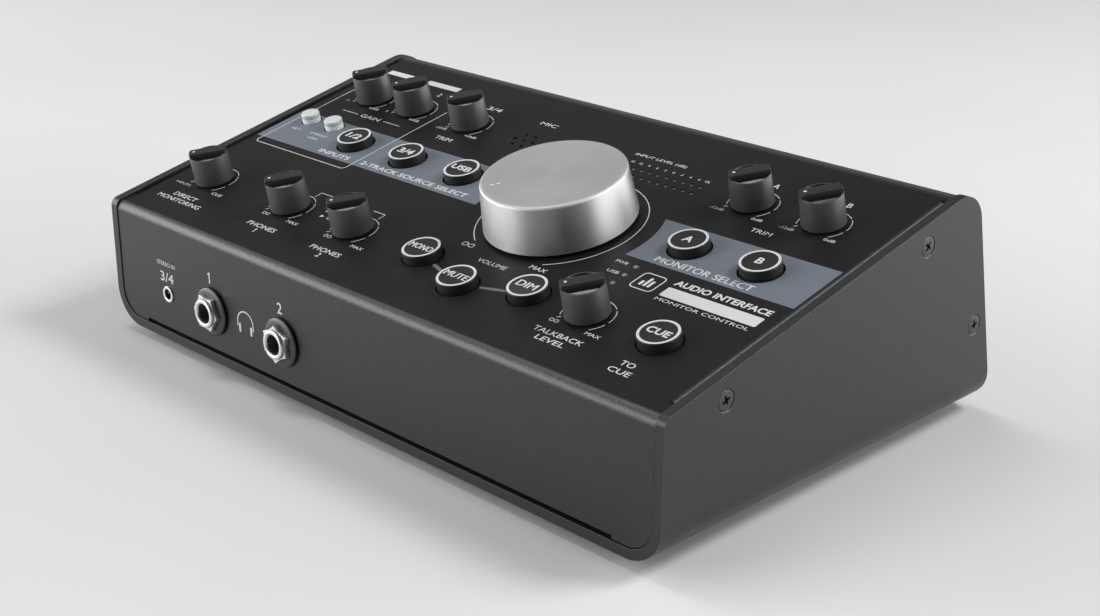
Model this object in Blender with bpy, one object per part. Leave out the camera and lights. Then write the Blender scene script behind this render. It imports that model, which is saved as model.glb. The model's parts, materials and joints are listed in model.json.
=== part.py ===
"""Desktop audio interface and monitor controller: a wedge-shaped folded steel case
with a large volume knob, nine small knobs, eleven panel buttons, front headphone
jacks and a rear row of sockets.

Device axes used below (millimetres): x to the right, y from the front face towards
the rear, z up from the underside of the case.  The world frame is in metres with its
origin under the middle of the object, on the surface that the feet stand on.
"""
import math

import bmesh
import bpy
from mathutils import Matrix, Vector

# ------------------------------------------------------------------ driving sizes
CASE_W = 240.0            # overall width over the two side walls
SHEET_T = 3.0             # thickness of the U-shaped base chassis
BEND_R = 11.7             # outside radius of the two long bottom bends
FRONT_H = 40.9            # height of the side wall at the front, corner extrapolated
REAR_TOP_Y = 130.2        # extrapolated top rear corner of the side wall
REAR_TOP_Z = 71.1
REAR_FOOT_Y = 146.6       # rear edge of the side wall at the underside
WALL_R_FRONT = 2.8        # corner radii of the side wall outline
WALL_R_REAR = 10.0
SHELL_T = 1.5             # thickness of the folded top shell
SHELL_HALF_W = 116.7
PANEL_DROP = 0.6          # the panel lies this much below the wall's top edge
FRONT_INSET = 0.3
REAR_INSET = 0.3
FLANGE_DEPTH = 11.0
FOOT_H = 3.0
FOOT_R = 6.5
NUT_PROUD = 3.6           # the headphone nuts stand this far in front of the case

KNOB_R_BASE, KNOB_R_TOP, KNOB_TOP, KNOB_FOOT = 6.37, 6.12, 9.6, 0.6
FIN_HALF_W, FIN_TOP = 2.2, 11.0      # grip bar across each small knob
POINTER_ANGLE = 140.0                # at rest the pointer stands this far anticlockwise of the rear
POCKET_FLOOR, POCKET_R = 8.2, 5.45
BIG_R_BASE, BIG_R_TOP, BIG_TOP, BIG_FOOT = 22.9, 21.4, 15.5, 1.0
SHAFT_R = 3.0
CAP_R, CAP_TOP, WELL_R = 6.0, 3.0, 6.45
TALLY_R, TALLY_TOP, TALLY_HOLE_R = 3.15, 3.2, 3.5
PRESS = 1.5               # travel of every panel button
BOARD_TOP = 11.0          # distance from the panel surface down to the control board
BOARD_T = 1.6

# panel layout: x, and distance s up the slope from the front corner
SMALL_KNOBS = {
    "gain_knob_1": (-97.5, 95.5),
    "gain_knob_2": (-76.5, 95.5),
    "line_trim_knob": (-49.5, 96.0),
    "direct_monitor_knob": (-99.0, 27.0),
    "phones_level_knob_1": (-58.7, 27.2),
    "phones_level_knob_2": (-28.0, 27.0),
    "talkback_level_knob": (69.3, 27.0),
    "output_trim_knob_a": (69.3, 96.0),
    "output_trim_knob_b": (94.3, 96.0),
}
BIG_KNOB = (25.6, 62.0)
BLACK_BUTTONS = {
    "source_button_12": (-75.2, 67.7),
    "source_button_34": (-49.4, 68.0),
    "source_button_usb": (-23.2, 68.1),
    "mono_button": (4.0, 26.7),
    "mute_button": (25.7, 20.4),
    "dim_button": (47.5, 26.6),
    "output_button_a": (70.0, 67.4),
    "output_button_b": (95.0, 67.4),
    "cue_button": (94.9, 26.7),
}
TALLY_BUTTONS = {
    "phantom_button": (-105.2, 72.9),
    "instrument_button": (-92.8, 72.9),
}
STATUS_LEDS = [(63.6, 52.4), (63.6, 47.6), (63.6, 42.8)]
METER_X0, METER_PITCH, METER_N = 25.7, 3.3, 15
METER_ROWS = (97.0, 92.9)
MIC_CENTRE, MIC_PITCH = (-23.8, 95.6), 3.9

# front panel: x, z
PHONES_JACKS = {"1": (-65.8, 16.9), "2": (-30.4, 16.9)}
MINI_JACK = (-90.3, 15.8)
# side screws: y, z
SCREWS = {"front": (22.6, 39.2), "rear_upper": (106.4, 58.7), "rear_lower": (134.0, 28.4)}
# rear panel: x, distance w up the leaning rear face from the underside
COMBO_X = {"1": -92.0, "2": -60.0}
COMBO_W = 27.0
STACK_X = {"line_in": -30.0, "output_a": 2.0, "output_b": 30.0}
STACK_W = (17.0, 37.0)
USB_POS = (58.0, 20.0)
DC_POS = (80.0, 19.0)
POWER_POS = (100.0, 21.0)
REAR_DEPTH = 25.0         # depth of the rear sockets behind the panel
JACK_BORE_R = 3.4         # takes a 6.35 mm plug

SLOPE = math.atan2(REAR_TOP_Z - FRONT_H, REAR_TOP_Y)
LEAN = math.atan2(REAR_FOOT_Y - REAR_TOP_Y, REAR_TOP_Z)
Y_MID = (REAR_FOOT_Y - NUT_PROUD) / 2.0
MM = 0.001


# ------------------------------------------------------------------ frames
def world(x, y, z):
    """Device millimetres to world metres."""
    return Vector((x * MM, (y - Y_MID) * MM, (z + FOOT_H) * MM))


def device_matrix():
    return Matrix.Translation(world(0, 0, 0))


def panel_matrix(x=0.0, s=0.0, n=0.0):
    """Frame on the sloping panel's outer surface: X right, Y up the slope, Z out."""
    c, k = math.cos(SLOPE), math.sin(SLOPE)
    n0 = n - PANEL_DROP
    return Matrix.Translation(world(x, s * c - n0 * k, FRONT_H + s * k + n0 * c)) @ Matrix.Rotation(SLOPE, 4, "X")


def rear_matrix(x=0.0, w=0.0, d=0.0):
    """Frame on the rear panel's outer surface: Z out of the panel, Y up the face."""
    c, k = math.cos(LEAN), math.sin(LEAN)
    d0 = d - REAR_INSET
    origin = world(x, REAR_FOOT_Y - w * k + d0 * c, w * c + d0 * k)
    out = Vector((0, c, k))
    up = Vector((0, -k, c))
    side = up.cross(out)
    rot = Matrix((side, up, out)).transposed().to_4x4()
    return Matrix.Translation(origin) @ rot


def front_matrix(x, z, y=0.0):
    """Frame on the front: Z points out of the front face, Y up."""
    out = Vector((0, -1, 0))
    up = Vector((0, 0, 1))
    side = up.cross(out)
    rot = Matrix((side, up, out)).transposed().to_4x4()
    return Matrix.Translation(world(x, y, z)) @ rot


def side_matrix(sign, y, z):
    """Frame on a side wall: Z points outwards."""
    out = Vector((sign, 0, 0))
    up = Vector((0, 0, 1))
    side = up.cross(out)
    rot = Matrix((side, up, out)).transposed().to_4x4()
    return Matrix.Translation(world(sign * CASE_W / 2, y, z)) @ rot


# ------------------------------------------------------------------ mesh helpers
def fresh_scene():
    for ob in list(bpy.data.objects):
        bpy.data.objects.remove(ob, do_unlink=True)


def material(name, rgb, rough, metal=0.0):
    mat = bpy.data.materials.get(name)
    if mat:
        return mat
    mat = bpy.data.materials.new(name)
    mat.use_nodes = True
    node = mat.node_tree.nodes["Principled BSDF"]
    node.inputs["Base Color"].default_value = (*rgb, 1.0)
    node.inputs["Roughness"].default_value = rough
    node.inputs["Metallic"].default_value = metal
    mat.diffuse_color = (*rgb, 1.0)
    return mat


def add_prism(bm, outline, z0, z1, m=None):
    """Closed prism over a counter-clockwise outline, between two heights (mm)."""
    m = m or Matrix.Identity(4)
    low = [bm.verts.new(m @ Vector((p[0] * MM, p[1] * MM, z0 * MM))) for p in outline]
    top = [bm.verts.new(m @ Vector((p[0] * MM, p[1] * MM, z1 * MM))) for p in outline]
    n = len(outline)
    bm.faces.new(list(reversed(low)))
    bm.faces.new(top)
    for i in range(n):
        j = (i + 1) % n
        bm.faces.new([low[i], low[j], top[j], top[i]])


def circle(r, seg, cx=0.0, cy=0.0, turn=0.0):
    return [(cx + r * math.cos(2 * math.pi * i / seg + turn), cy + r * math.sin(2 * math.pi * i / seg + turn)) for i in range(seg)]


def rect(x0, y0, x1, y1):
    return [(x0, y0), (x1, y0), (x1, y1), (x0, y1)]


def add_lathe(bm, profile, seg, m=None, turn=0.0):
    """Turned solid.  The profile lists (r, z) in mm, anticlockwise in the r-z
    half-plane; r = 0 ends on the axis, otherwise the ring closes on itself."""
    m = m or Matrix.Identity(4)
    on_axis = profile[0][0] == 0 and profile[-1][0] == 0
    rings = []
    for r, z in profile:
        if r == 0:
            rings.append([bm.verts.new(m @ Vector((0, 0, z * MM)))])
        else:
            rings.append([bm.verts.new(m @ Vector((r * MM * math.cos(2 * math.pi * i / seg + turn),
                                                   r * MM * math.sin(2 * math.pi * i / seg + turn), z * MM))) for i in range(seg)])
    pairs = list(zip(rings[:-1], rings[1:]))
    if not on_axis:
        pairs.append((rings[-1], rings[0]))
    for a, b in pairs:
        for i in range(seg):
            j = (i + 1) % seg
            if len(a) == 1 and len(b) == 1:
                continue
            if len(a) == 1:
                bm.faces.new([a[0], b[j], b[i]])
            elif len(b) == 1:
                bm.faces.new([a[i], a[j], b[0]])
            else:
                bm.faces.new([a[i], a[j], b[j], b[i]])


def mesh_from(build, name):
    bm = bmesh.new()
    build(bm)
    bmesh.ops.recalc_face_normals(bm, faces=bm.faces[:])
    me = bpy.data.meshes.new(name)
    bm.to_mesh(me)
    bm.free()
    return me


def put(name, me, mat, matrix=None, smooth=True):
    ob = bpy.data.objects.new(name, me)
    bpy.context.scene.collection.objects.link(ob)
    if matrix is not None:
        ob.matrix_world = matrix
    me.materials.clear()
    me.materials.append(mat)
    if smooth:
        me.shade_smooth()
        me.set_sharp_from_angle(angle=math.radians(35))
    return ob


def boolean(ob, cutter_mesh, operation, matrix=None):
    """Apply an exact Boolean with a cutter mesh that is given in ob's own frame."""
    cut = bpy.data.objects.new("cutter", cutter_mesh)
    bpy.context.scene.collection.objects.link(cut)
    cut.matrix_world = ob.matrix_world if matrix is None else matrix
    cut.hide_render = True
    cut.display_type = "WIRE"
    mod = ob.modifiers.new("cut", "BOOLEAN")
    mod.operation = operation
    mod.solver = "EXACT"
    mod.object = cut
    bpy.context.view_layer.update()
    dg = bpy.context.evaluated_depsgraph_get()
    me = bpy.data.meshes.new_from_object(ob.evaluated_get(dg))
    ob.modifiers.remove(mod)
    old = ob.data
    mats = [m for m in old.materials]
    ob.data = me
    me.materials.clear()
    for m in mats:
        me.materials.append(m)
    bpy.data.objects.remove(cut, do_unlink=True)
    bpy.data.meshes.remove(old)


def tidy(ob):
    """Merge stray vertices and dissolve the flat seams that the Booleans leave."""
    bm = bmesh.new()
    bm.from_mesh(ob.data)
    bmesh.ops.remove_doubles(bm, verts=bm.verts[:], dist=1e-6)
    bmesh.ops.dissolve_limit(bm, angle_limit=math.radians(0.05), use_dissolve_boundaries=False,
                             verts=bm.verts[:], edges=bm.edges[:], delimit=set())
    bmesh.ops.triangulate(bm, faces=[f for f in bm.faces if len(f.verts) > 4])
    bm.to_mesh(ob.data)
    bm.free()
    ob.data.shade_smooth()
    ob.data.set_sharp_from_angle(angle=math.radians(35))


def arc_points(cx, cy, r, a0, a1, n):
    return [(cx + r * math.cos(math.radians(a0 + (a1 - a0) * i / n)), cy + r * math.sin(math.radians(a0 + (a1 - a0) * i / n))) for i in range(n + 1)]


def line_hit(p, d, q, e):
    """Intersection of p + t d with q + u e in the plane."""
    det = d[0] * -e[1] + d[1] * e[0]
    t = ((q[0] - p[0]) * -e[1] + (q[1] - p[1]) * e[0]) / det
    return (p[0] + d[0] * t, p[1] + d[1] * t)


def fillet(corner, d_in, d_out, r, n):
    """Points of the arc that rounds a corner between two directions of travel."""
    li, lo = math.hypot(*d_in), math.hypot(*d_out)
    a, b = (-d_in[0] / li, -d_in[1] / li), (d_out[0] / lo, d_out[1] / lo)
    ang = math.acos(max(-1, min(1, a[0] * b[0] + a[1] * b[1])))
    t = r / math.tan(ang / 2)
    p0 = (corner[0] + a[0] * t, corner[1] + a[1] * t)
    bis = (a[0] + b[0], a[1] + b[1])
    lb = math.hypot(*bis)
    h = r / math.sin(ang / 2)
    c = (corner[0] + bis[0] / lb * h, corner[1] + bis[1] / lb * h)
    a0 = math.atan2(p0[1] - c[1], p0[0] - c[0])
    p1 = (corner[0] + b[0] * t, corner[1] + b[1] * t)
    a1 = math.atan2(p1[1] - c[1], p1[0] - c[0])
    while a1 - a0 > math.pi:
        a1 -= 2 * math.pi
    while a1 - a0 < -math.pi:
        a1 += 2 * math.pi
    return [(c[0] + r * math.cos(a0 + (a1 - a0) * i / n), c[1] + r * math.sin(a0 + (a1 - a0) * i / n)) for i in range(n + 1)]


def wedge_path(front_in, drop, rear_in, r_front, r_rear, z_low, n_front=4, n_rear=6):
    """Outline front-bottom, front-top, rear-top, rear-bottom in (y, z), with the three
    sides moved inwards by the given amounts."""
    s = (math.cos(SLOPE), math.sin(SLOPE))
    down = (math.sin(LEAN), -math.cos(LEAN))
    top_p = (drop * math.sin(SLOPE), FRONT_H - drop * math.cos(SLOPE))
    rear_p = (REAR_TOP_Y - rear_in * math.cos(LEAN), REAR_TOP_Z - rear_in * math.sin(LEAN))
    c1 = line_hit((front_in, 0), (0, 1), top_p, s)
    c2 = line_hit(top_p, s, rear_p, down)
    low = line_hit(rear_p, down, (0, z_low), (1, 0))
    pts = [(front_in, z_low)]
    pts += fillet(c1, (0, 1), s, r_front, n_front)
    pts += fillet(c2, s, down, r_rear, n_rear)
    pts.append(low)
    return pts


def add_extrusion_x(bm, outline_yz, x0, x1):
    """Closed prism along x over an outline given in device (y, z)."""
    a = [bm.verts.new((x0 * MM, p[0] * MM, p[1] * MM)) for p in outline_yz]
    b = [bm.verts.new((x1 * MM, p[0] * MM, p[1] * MM)) for p in outline_yz]
    n = len(outline_yz)
    bm.faces.new(a)
    bm.faces.new(list(reversed(b)))
    for i in range(n):
        j = (i + 1) % n
        bm.faces.new([a[i], b[i], b[j], a[j]])


def add_extrusion_y(bm, outline_xz, y0, y1):
    a = [bm.verts.new((p[0] * MM, y0 * MM, p[1] * MM)) for p in outline_xz]
    b = [bm.verts.new((p[0] * MM, y1 * MM, p[1] * MM)) for p in outline_xz]
    n = len(outline_xz)
    bm.faces.new(a)
    bm.faces.new(list(reversed(b)))
    for i in range(n):
        j = (i + 1) % n
        bm.faces.new([a[i], b[i], b[j], a[j]])


# ------------------------------------------------------------------ materials
fresh_scene()
PAINT = material("dark_grey_paint", (0.045, 0.046, 0.05), 0.42, 0.2)
PANEL = material("black_panel_paint", (0.018, 0.018, 0.019), 0.5, 0.1)
ALU = material("satin_aluminium", (0.72, 0.72, 0.71), 0.32, 1.0)
KNOB = material("black_knob_plastic", (0.03, 0.03, 0.032), 0.45)
CAPM = material("black_cap_plastic", (0.02, 0.02, 0.02), 0.5)
WHITE = material("translucent_white", (0.75, 0.78, 0.76), 0.35)
STEEL = material("bright_steel", (0.7, 0.7, 0.7), 0.25, 1.0)
BLACKSTEEL = material("black_screw", (0.03, 0.03, 0.03), 0.4, 0.8)
RUBBER = material("black_rubber", (0.02, 0.02, 0.02), 0.85)
BOARD = material("circuit_board", (0.02, 0.12, 0.05), 0.5)
SOCKET = material("socket_plastic", (0.02, 0.02, 0.02), 0.4)

DEV = device_matrix()

# ------------------------------------------------------------------ base chassis
half = CASE_W / 2
cx = half - BEND_R
u_outline = ([(-half, 90.0)] + arc_points(-cx, BEND_R, BEND_R, 180, 270, 7) + arc_points(cx, BEND_R, BEND_R, 270, 360, 7) + [(half, 90.0), (half - SHEET_T, 90.0)]
             + arc_points(cx, BEND_R, BEND_R - SHEET_T, 360, 270, 7) + arc_points(-cx, BEND_R, BEND_R - SHEET_T, 270, 180, 7) + [(-half + SHEET_T, 90.0)])
base = put("base_chassis", mesh_from(lambda bm: add_extrusion_y(bm, u_outline, 0.0, 160.0), "base_chassis"), PAINT, DEV)
wall_outline = wedge_path(-0.0, 0.0, 0.0, WALL_R_FRONT, WALL_R_REAR, -5.0)
wall_outline[0] = (-0.0, -5.0)


def trim_prism(bm):
    # the front side of the prism lies just ahead of the sheet so that the sheet's own cut edge stays
    pts = [(p[0] if p[0] > 1e-6 else -2.0 if p[1] < FRONT_H - 4 else p[0], p[1]) for p in wall_outline]
    pts.insert(1, (-2.0, FRONT_H - WALL_R_FRONT * 0.9))
    pts.insert(2, (0.0, FRONT_H - WALL_R_FRONT * 0.9))
    add_extrusion_x(bm, pts, -half - 5, half + 5)


boolean(base, mesh_from(trim_prism, "trim"), "INTERSECT")


def screw_holes(bm):
    for sign in (-1, 1):
        for y, z in SCREWS.values():
            m = DEV.inverted() @ side_matrix(sign, y, z)
            add_lathe(bm, [(0, -SHEET_T - 1), (1.7, -SHEET_T - 1), (1.7, -1.5), (3.2, 0.0), (3.2, 1.0), (0, 1.0)], 14, m)


boolean(base, mesh_from(screw_holes, "screw_holes"), "DIFFERENCE")
tidy(base)

# ------------------------------------------------------------------ top shell
outer = wedge_path(FRONT_INSET, PANEL_DROP, REAR_INSET, 2.8, 9.6, 3.0)
inner = wedge_path(FRONT_INSET + SHELL_T, PANEL_DROP + SHELL_T, REAR_INSET + SHELL_T, 2.8 - SHELL_T, 9.6 - SHELL_T, 3.0)
strip = outer + list(reversed(inner))
shell = put("top_shell", mesh_from(lambda bm: add_extrusion_x(bm, strip, -SHELL_HALF_W, SHELL_HALF_W), "top_shell"), PANEL, DEV)

# the sheet is cut back along the panel's long sides, where the side flanges are folded down
PANEL_LOCAL = DEV.inverted() @ panel_matrix()
S0, S1 = 8.0, 121.4
RELIEF = 1.6


def flange_gap(bm):
    for sign in (-1, 1):
        xs = sorted((sign * (SHELL_HALF_W - 2.1), sign * (SHELL_HALF_W + 1.0)))
        add_prism(bm, rect(xs[0], S0 - RELIEF, xs[1], S1 + RELIEF), -4.0, 2.0, PANEL_LOCAL)


boolean(shell, mesh_from(flange_gap, "flange_gap"), "DIFFERENCE")


def side_flanges(bm):
    r = 1.2
    for sign in (-1, 1):
        prof = [(SHELL_HALF_W - 3.2, -0.03)] + arc_points(SHELL_HALF_W - r, -r - 0.03, r, 90, 0, 3) + [
            (SHELL_HALF_W, -FLANGE_DEPTH), (SHELL_HALF_W - SHELL_T, -FLANGE_DEPTH), (SHELL_HALF_W - SHELL_T, -SHELL_T + 0.03), (SHELL_HALF_W - 3.2, -SHELL_T + 0.03)]
        a = [bm.verts.new(PANEL_LOCAL @ Vector((sign * p[0] * MM, S0 * MM, p[1] * MM))) for p in prof]
        b = [bm.verts.new(PANEL_LOCAL @ Vector((sign * p[0] * MM, S1 * MM, p[1] * MM))) for p in prof]
        bm.faces.new(a)
        bm.faces.new(list(reversed(b)))
        for i in range(len(prof)):
            j = (i + 1) % len(prof)
            bm.faces.new([a[i], b[i], b[j], a[j]])


boolean(shell, mesh_from(side_flanges, "side_flanges"), "UNION")

REAR_LOCAL = DEV.inverted() @ rear_matrix()


def rear_flanges(bm):
    for sign in (-1, 1):
        xs = sorted((sign * (SHELL_HALF_W - SHELL_T - 0.1), sign * (SHELL_HALF_W - 0.1)))
        # the rear frame's X runs the other way, so the pair is mirrored there
        add_prism(bm, rect(-xs[1], 14.0, -xs[0], 52.0), -FLANGE_DEPTH, -0.5, REAR_LOCAL)


boolean(shell, mesh_from(rear_flanges, "rear_flanges"), "UNION")

# lower edge: it follows the inside of the base, with a long shallow slot at the front and rear
gap = 0.3
ri = BEND_R - SHEET_T - gap
low = SHEET_T + gap
edge = ([(-half + SHEET_T - gap + 0.05, 95.0)] + arc_points(-cx - 0.05, BEND_R, ri, 180, 270, 6) + [(-103.4, low), (-103.4, low + 1.0), (103.4, low + 1.0), (103.4, low)]
        + arc_points(cx + 0.05, BEND_R, ri, 270, 360, 6) + [(half - SHEET_T - gap + 0.05, 95.0)])
boolean(shell, mesh_from(lambda bm: add_extrusion_y(bm, edge, -5.0, 170.0), "edge"), "INTERSECT")


def panel_holes(bm):
    def hole(pos, r, seg):
        add_prism(bm, circle(r, seg, pos[0], pos[1]), -3.5, 1.5, PANEL_LOCAL)
    for pos in SMALL_KNOBS.values():
        hole(pos, 3.8, 12)
    hole(BIG_KNOB, 4.2, 12)
    for pos in BLACK_BUTTONS.values():
        hole(pos, WELL_R, 20)
    for pos in TALLY_BUTTONS.values():
        hole(pos, TALLY_HOLE_R, 12)
    for pos in STATUS_LEDS:
        hole(pos, 1.0, 8)
    for row in METER_ROWS:
        for i in range(METER_N):
            hole((METER_X0 + (i - (METER_N - 1) / 2) * METER_PITCH, row), 0.85, 6)
    hole(MIC_CENTRE, 0.85, 6)
    for i in range(6):
        a = math.radians(60 * i)
        hole((MIC_CENTRE[0] + MIC_PITCH * math.cos(a), MIC_CENTRE[1] + MIC_PITCH * math.sin(a)), 0.85, 6)
    # front face
    for x, z in PHONES_JACKS.values():
        add_prism(bm, circle(4.8, 20), -4.0, 1.0, DEV.inverted() @ front_matrix(x, z))
    add_prism(bm, circle(3.4, 16), -4.0, 1.0, DEV.inverted() @ front_matrix(*MINI_JACK))
    # side flange holes
    for sign in (-1, 1):
        for y, z in SCREWS.values():
            add_prism(bm, circle(1.75, 10), -8.0, -2.5, DEV.inverted() @ side_matrix(sign, y, z))
    # rear face
    for x in COMBO_X.values():
        add_prism(bm, circle(12.0, 28), -4.0, 1.5, DEV.inverted() @ rear_matrix(x, COMBO_W))
    for x in STACK_X.values():
        for w in STACK_W:
            add_prism(bm, circle(4.8, 12), -4.0, 1.5, DEV.inverted() @ rear_matrix(x, w))
    add_prism(bm, rect(-6.4, -5.9, 6.4, 5.9), -4.0, 1.5, DEV.inverted() @ rear_matrix(*USB_POS))
    add_prism(bm, circle(4.6, 16), -4.0, 1.5, DEV.inverted() @ rear_matrix(*DC_POS))
    add_prism(bm, circle(4.4, 16), -4.0, 1.5, DEV.inverted() @ rear_matrix(*POWER_POS))


boolean(shell, mesh_from(panel_holes, "panel_holes"), "DIFFERENCE")
tidy(shell)

# ------------------------------------------------------------------ side screws and feet
for sign, side in ((-1, "left"), (1, "right")):
    for key, (y, z) in SCREWS.items():
        me = mesh_from(lambda bm: add_lathe(bm, [(0, -7.5), (1.4, -7.5), (1.4, -1.55), (2.85, -0.1), (0, -0.1)], 14), "side_screw")
        put("side_screw_%s_%s" % (side, key), me, BLACKSTEEL, side_matrix(sign, y, z))

for sx, sidename in ((-1, "left"), (1, "right")):
    for fy, endname in ((17.0, "front"), (129.0, "rear")):
        me = mesh_from(lambda bm: add_lathe(bm, [(0, 0), (FOOT_R - 0.7, 0), (FOOT_R, 0.7), (FOOT_R, FOOT_H - 0.3), (0, FOOT_H - 0.3)], 20), "foot")
        put("foot_%s_%s" % (endname, sidename), me, RUBBER, Matrix.Translation(world(sx * 96.0, fy, -FOOT_H)))

# ------------------------------------------------------------------ control board
# one soldered assembly: board, potentiometer and switch bodies, meter block, microphone capsule
B = -BOARD_TOP
board = put("control_board", mesh_from(lambda bm: add_prism(bm, rect(-112, 8, 112, 118), B - BOARD_T, B), "control_board"), BOARD, panel_matrix())


def soldered_parts(bm):
    for x, s in SMALL_KNOBS.values():
        add_prism(bm, rect(x - 4.9, s - 5.6, x + 4.9, s + 5.0), B - 0.3, -4.6)
    x, s = BIG_KNOB
    add_prism(bm, rect(x - 7.0, s - 7.5, x + 7.0, s + 7.0), B - 0.3, -4.6)
    for x, s in BLACK_BUTTONS.values():
        add_prism(bm, rect(x - 4.0, s - 4.0, x + 4.0, s + 4.0), B - 0.3, -7.2)
    for x, s in TALLY_BUTTONS.values():
        add_prism(bm, rect(x - 3.0, s - 3.0, x + 3.0, s + 3.0), B - 0.3, -7.2)
    w = (METER_N - 1) / 2 * METER_PITCH + 1.6
    add_prism(bm, rect(METER_X0 - w, METER_ROWS[1] - 1.8, METER_X0 + w, METER_ROWS[0] + 1.8), B - 0.3, -2.0)
    add_prism(bm, rect(61.9, 41.0, 65.3, 54.2), B - 0.3, -2.0)
    add_prism(bm, circle(4.8, 16, *MIC_CENTRE), B - 0.3, -2.2)


boolean(board, mesh_from(soldered_parts, "soldered_parts"), "UNION")


def bushings(bm):
    for x, s in list(SMALL_KNOBS.values()) + [BIG_KNOB]:
        add_prism(bm, circle(4.3, 12, x, s), -4.9, -2.0)


boolean(board, mesh_from(bushings, "bushings"), "UNION")


def bushing_bores(bm):
    for x, s in list(SMALL_KNOBS.values()) + [BIG_KNOB]:
        add_prism(bm, circle(3.2, 12, x, s), -5.6, -1.0)


boolean(board, mesh_from(bushing_bores, "bushing_bores"), "DIFFERENCE")
tidy(board)

# ------------------------------------------------------------------ rear input and output board
io = put("io_board", mesh_from(lambda bm: add_prism(bm, rect(-108, 11.0, 108, 47), -REAR_DEPTH - 2.0, -REAR_DEPTH - 0.4), "io_board"), BOARD, rear_matrix())


def io_parts(bm):
    # power switch body behind its button
    add_prism(bm, rect(-POWER_POS[0] - 5, POWER_POS[1] - 5, -POWER_POS[0] + 5, POWER_POS[1] + 5), -REAR_DEPTH - 0.8, -14.5)


boolean(io, mesh_from(io_parts, "io_parts"), "UNION")
tidy(io)


# ------------------------------------------------------------------ knobs and their shafts
def d_outline(r, flat, seg):
    """Round shaft with one flat, as a knob and its shaft share."""
    pts = []
    a0 = math.acos(flat / r)
    for i in range(seg + 1):
        a = a0 + (2 * math.pi - 2 * a0) * i / seg
        pts.append((r * math.cos(a), r * math.sin(a)))
    return pts


def knob_solid(r0, r1, foot, top, chamfer, seg, hollow):
    def build(bm):
        prof = [(0, foot)]
        if hollow:
            prof = [(0, foot + 1.0), (7.0, foot + 1.0), (7.0, top - 4.0), (r1 - 3.0, top - 4.0), (r0 - 2.4, foot)]
            prof += [(r0, foot)]
        else:
            prof += [(r0, foot)]
        prof += [(r1 + (r0 - r1) * 0.06, top - chamfer), (r1 - chamfer, top), (0, top)]
        add_lathe(bm, prof, seg)
    return build


def grip_bar(bm):
    """Bar across the knob, with its ends on the knob's own round side."""
    a = math.radians(90 + POINTER_ANGLE)
    half = math.degrees(math.asin(FIN_HALF_W / (KNOB_R_TOP - 0.05)))
    outline = arc_points(0, 0, KNOB_R_TOP - 0.05, -half, half, 4) + arc_points(0, 0, KNOB_R_TOP - 0.05, 180 - half, 180 + half, 4)
    turned = [(x * math.cos(a) - y * math.sin(a), x * math.sin(a) + y * math.cos(a)) for x, y in outline]
    add_prism(bm, turned, POCKET_FLOOR - 0.4, FIN_TOP)


def make_knob(name, shaft_name, pos, hollow, mat, mat_shaft):
    x, s = pos
    m = panel_matrix(x, s)
    if hollow:
        me = mesh_from(knob_solid(BIG_R_BASE, BIG_R_TOP, BIG_FOOT, BIG_TOP, 0.9, 40, True), name)
        depth = 11.0
    else:
        me = mesh_from(knob_solid(KNOB_R_BASE, KNOB_R_TOP, KNOB_FOOT, KNOB_TOP, 0.35, 24, False), name)
        depth = 7.4
    ob = put(name, me, mat, m)
    if not hollow:
        boolean(ob, mesh_from(lambda bm: add_prism(bm, circle(POCKET_R, 20), POCKET_FLOOR, KNOB_TOP + 1), "pocket"), "DIFFERENCE")
        boolean(ob, mesh_from(grip_bar, "grip_bar"), "UNION")
    boolean(ob, mesh_from(lambda bm: add_prism(bm, d_outline(SHAFT_R + 0.1, 1.6, 12), -1.0, depth), "bore"), "DIFFERENCE")
    tidy(ob)
    put(shaft_name, mesh_from(lambda bm: add_prism(bm, d_outline(SHAFT_R, 1.5, 12), -5.3, depth - 0.4), shaft_name), mat_shaft, m)


make_knob("volume_knob", "volume_shaft", BIG_KNOB, True, ALU, STEEL)
for key, pos in SMALL_KNOBS.items():
    make_knob(key, key.replace("knob", "shaft"), pos, False, KNOB, STEEL)


# ------------------------------------------------------------------ panel buttons
def cap_solid(r, top, flange_r, seg):
    return lambda bm: add_lathe(bm, [(0, -5.3), (2.0, -5.3), (2.0, -3.2), (flange_r, -3.2), (flange_r, -1.95), (r, -1.95), (r, top - 0.3), (r - 0.3, top), (0, top)], seg)


for key, (x, s) in BLACK_BUTTONS.items():
    put(key, mesh_from(cap_solid(CAP_R, CAP_TOP, 6.95, 20), key), CAPM, panel_matrix(x, s))
for key, (x, s) in TALLY_BUTTONS.items():
    put(key, mesh_from(cap_solid(TALLY_R, TALLY_TOP, 4.1, 12), key), WHITE, panel_matrix(x, s))


# ------------------------------------------------------------------ front jacks
def phones_jack(bm):
    add_lathe(bm, [(0, -20.6), (JACK_BORE_R, -20.6), (JACK_BORE_R, 0), (3.8, 0), (4.4, -0.5), (4.4, -6.0), (7.4, -6.0), (7.4, -23.6), (0, -23.6)][::-1], 16, turn=math.pi / 16)


def ring_nut(bm):
    add_lathe(bm, [(4.75, -1.5), (6.0, -1.5), (6.0, -0.35), (5.5, 0), (4.75, 0)], 6)


def hex_nut(bm):
    # hexagonal outside, round inside: the two rings are bridged face to face
    seg = 12
    def ring(r_fun, z):
        return [bm.verts.new(Vector((r_fun(2 * math.pi * i / seg) * MM * math.cos(2 * math.pi * i / seg), r_fun(2 * math.pi * i / seg) * MM * math.sin(2 * math.pi * i / seg), z * MM))) for i in range(seg)]
    hexr = lambda a: 6.0 * math.cos(math.pi / 6) / math.cos((a % (math.pi / 3)) - math.pi / 6)
    rings = [ring(lambda a: 4.75, -1.5), ring(hexr, -1.5), ring(hexr, -0.35), ring(lambda a: min(hexr(a), 5.45), 0.0), ring(lambda a: 4.75, 0.0)]
    for k in range(len(rings)):
        a, b = rings[k], rings[(k + 1) % len(rings)]
        for i in range(seg):
            j = (i + 1) % seg
            bm.faces.new([a[i], a[j], b[j], b[i]])


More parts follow.
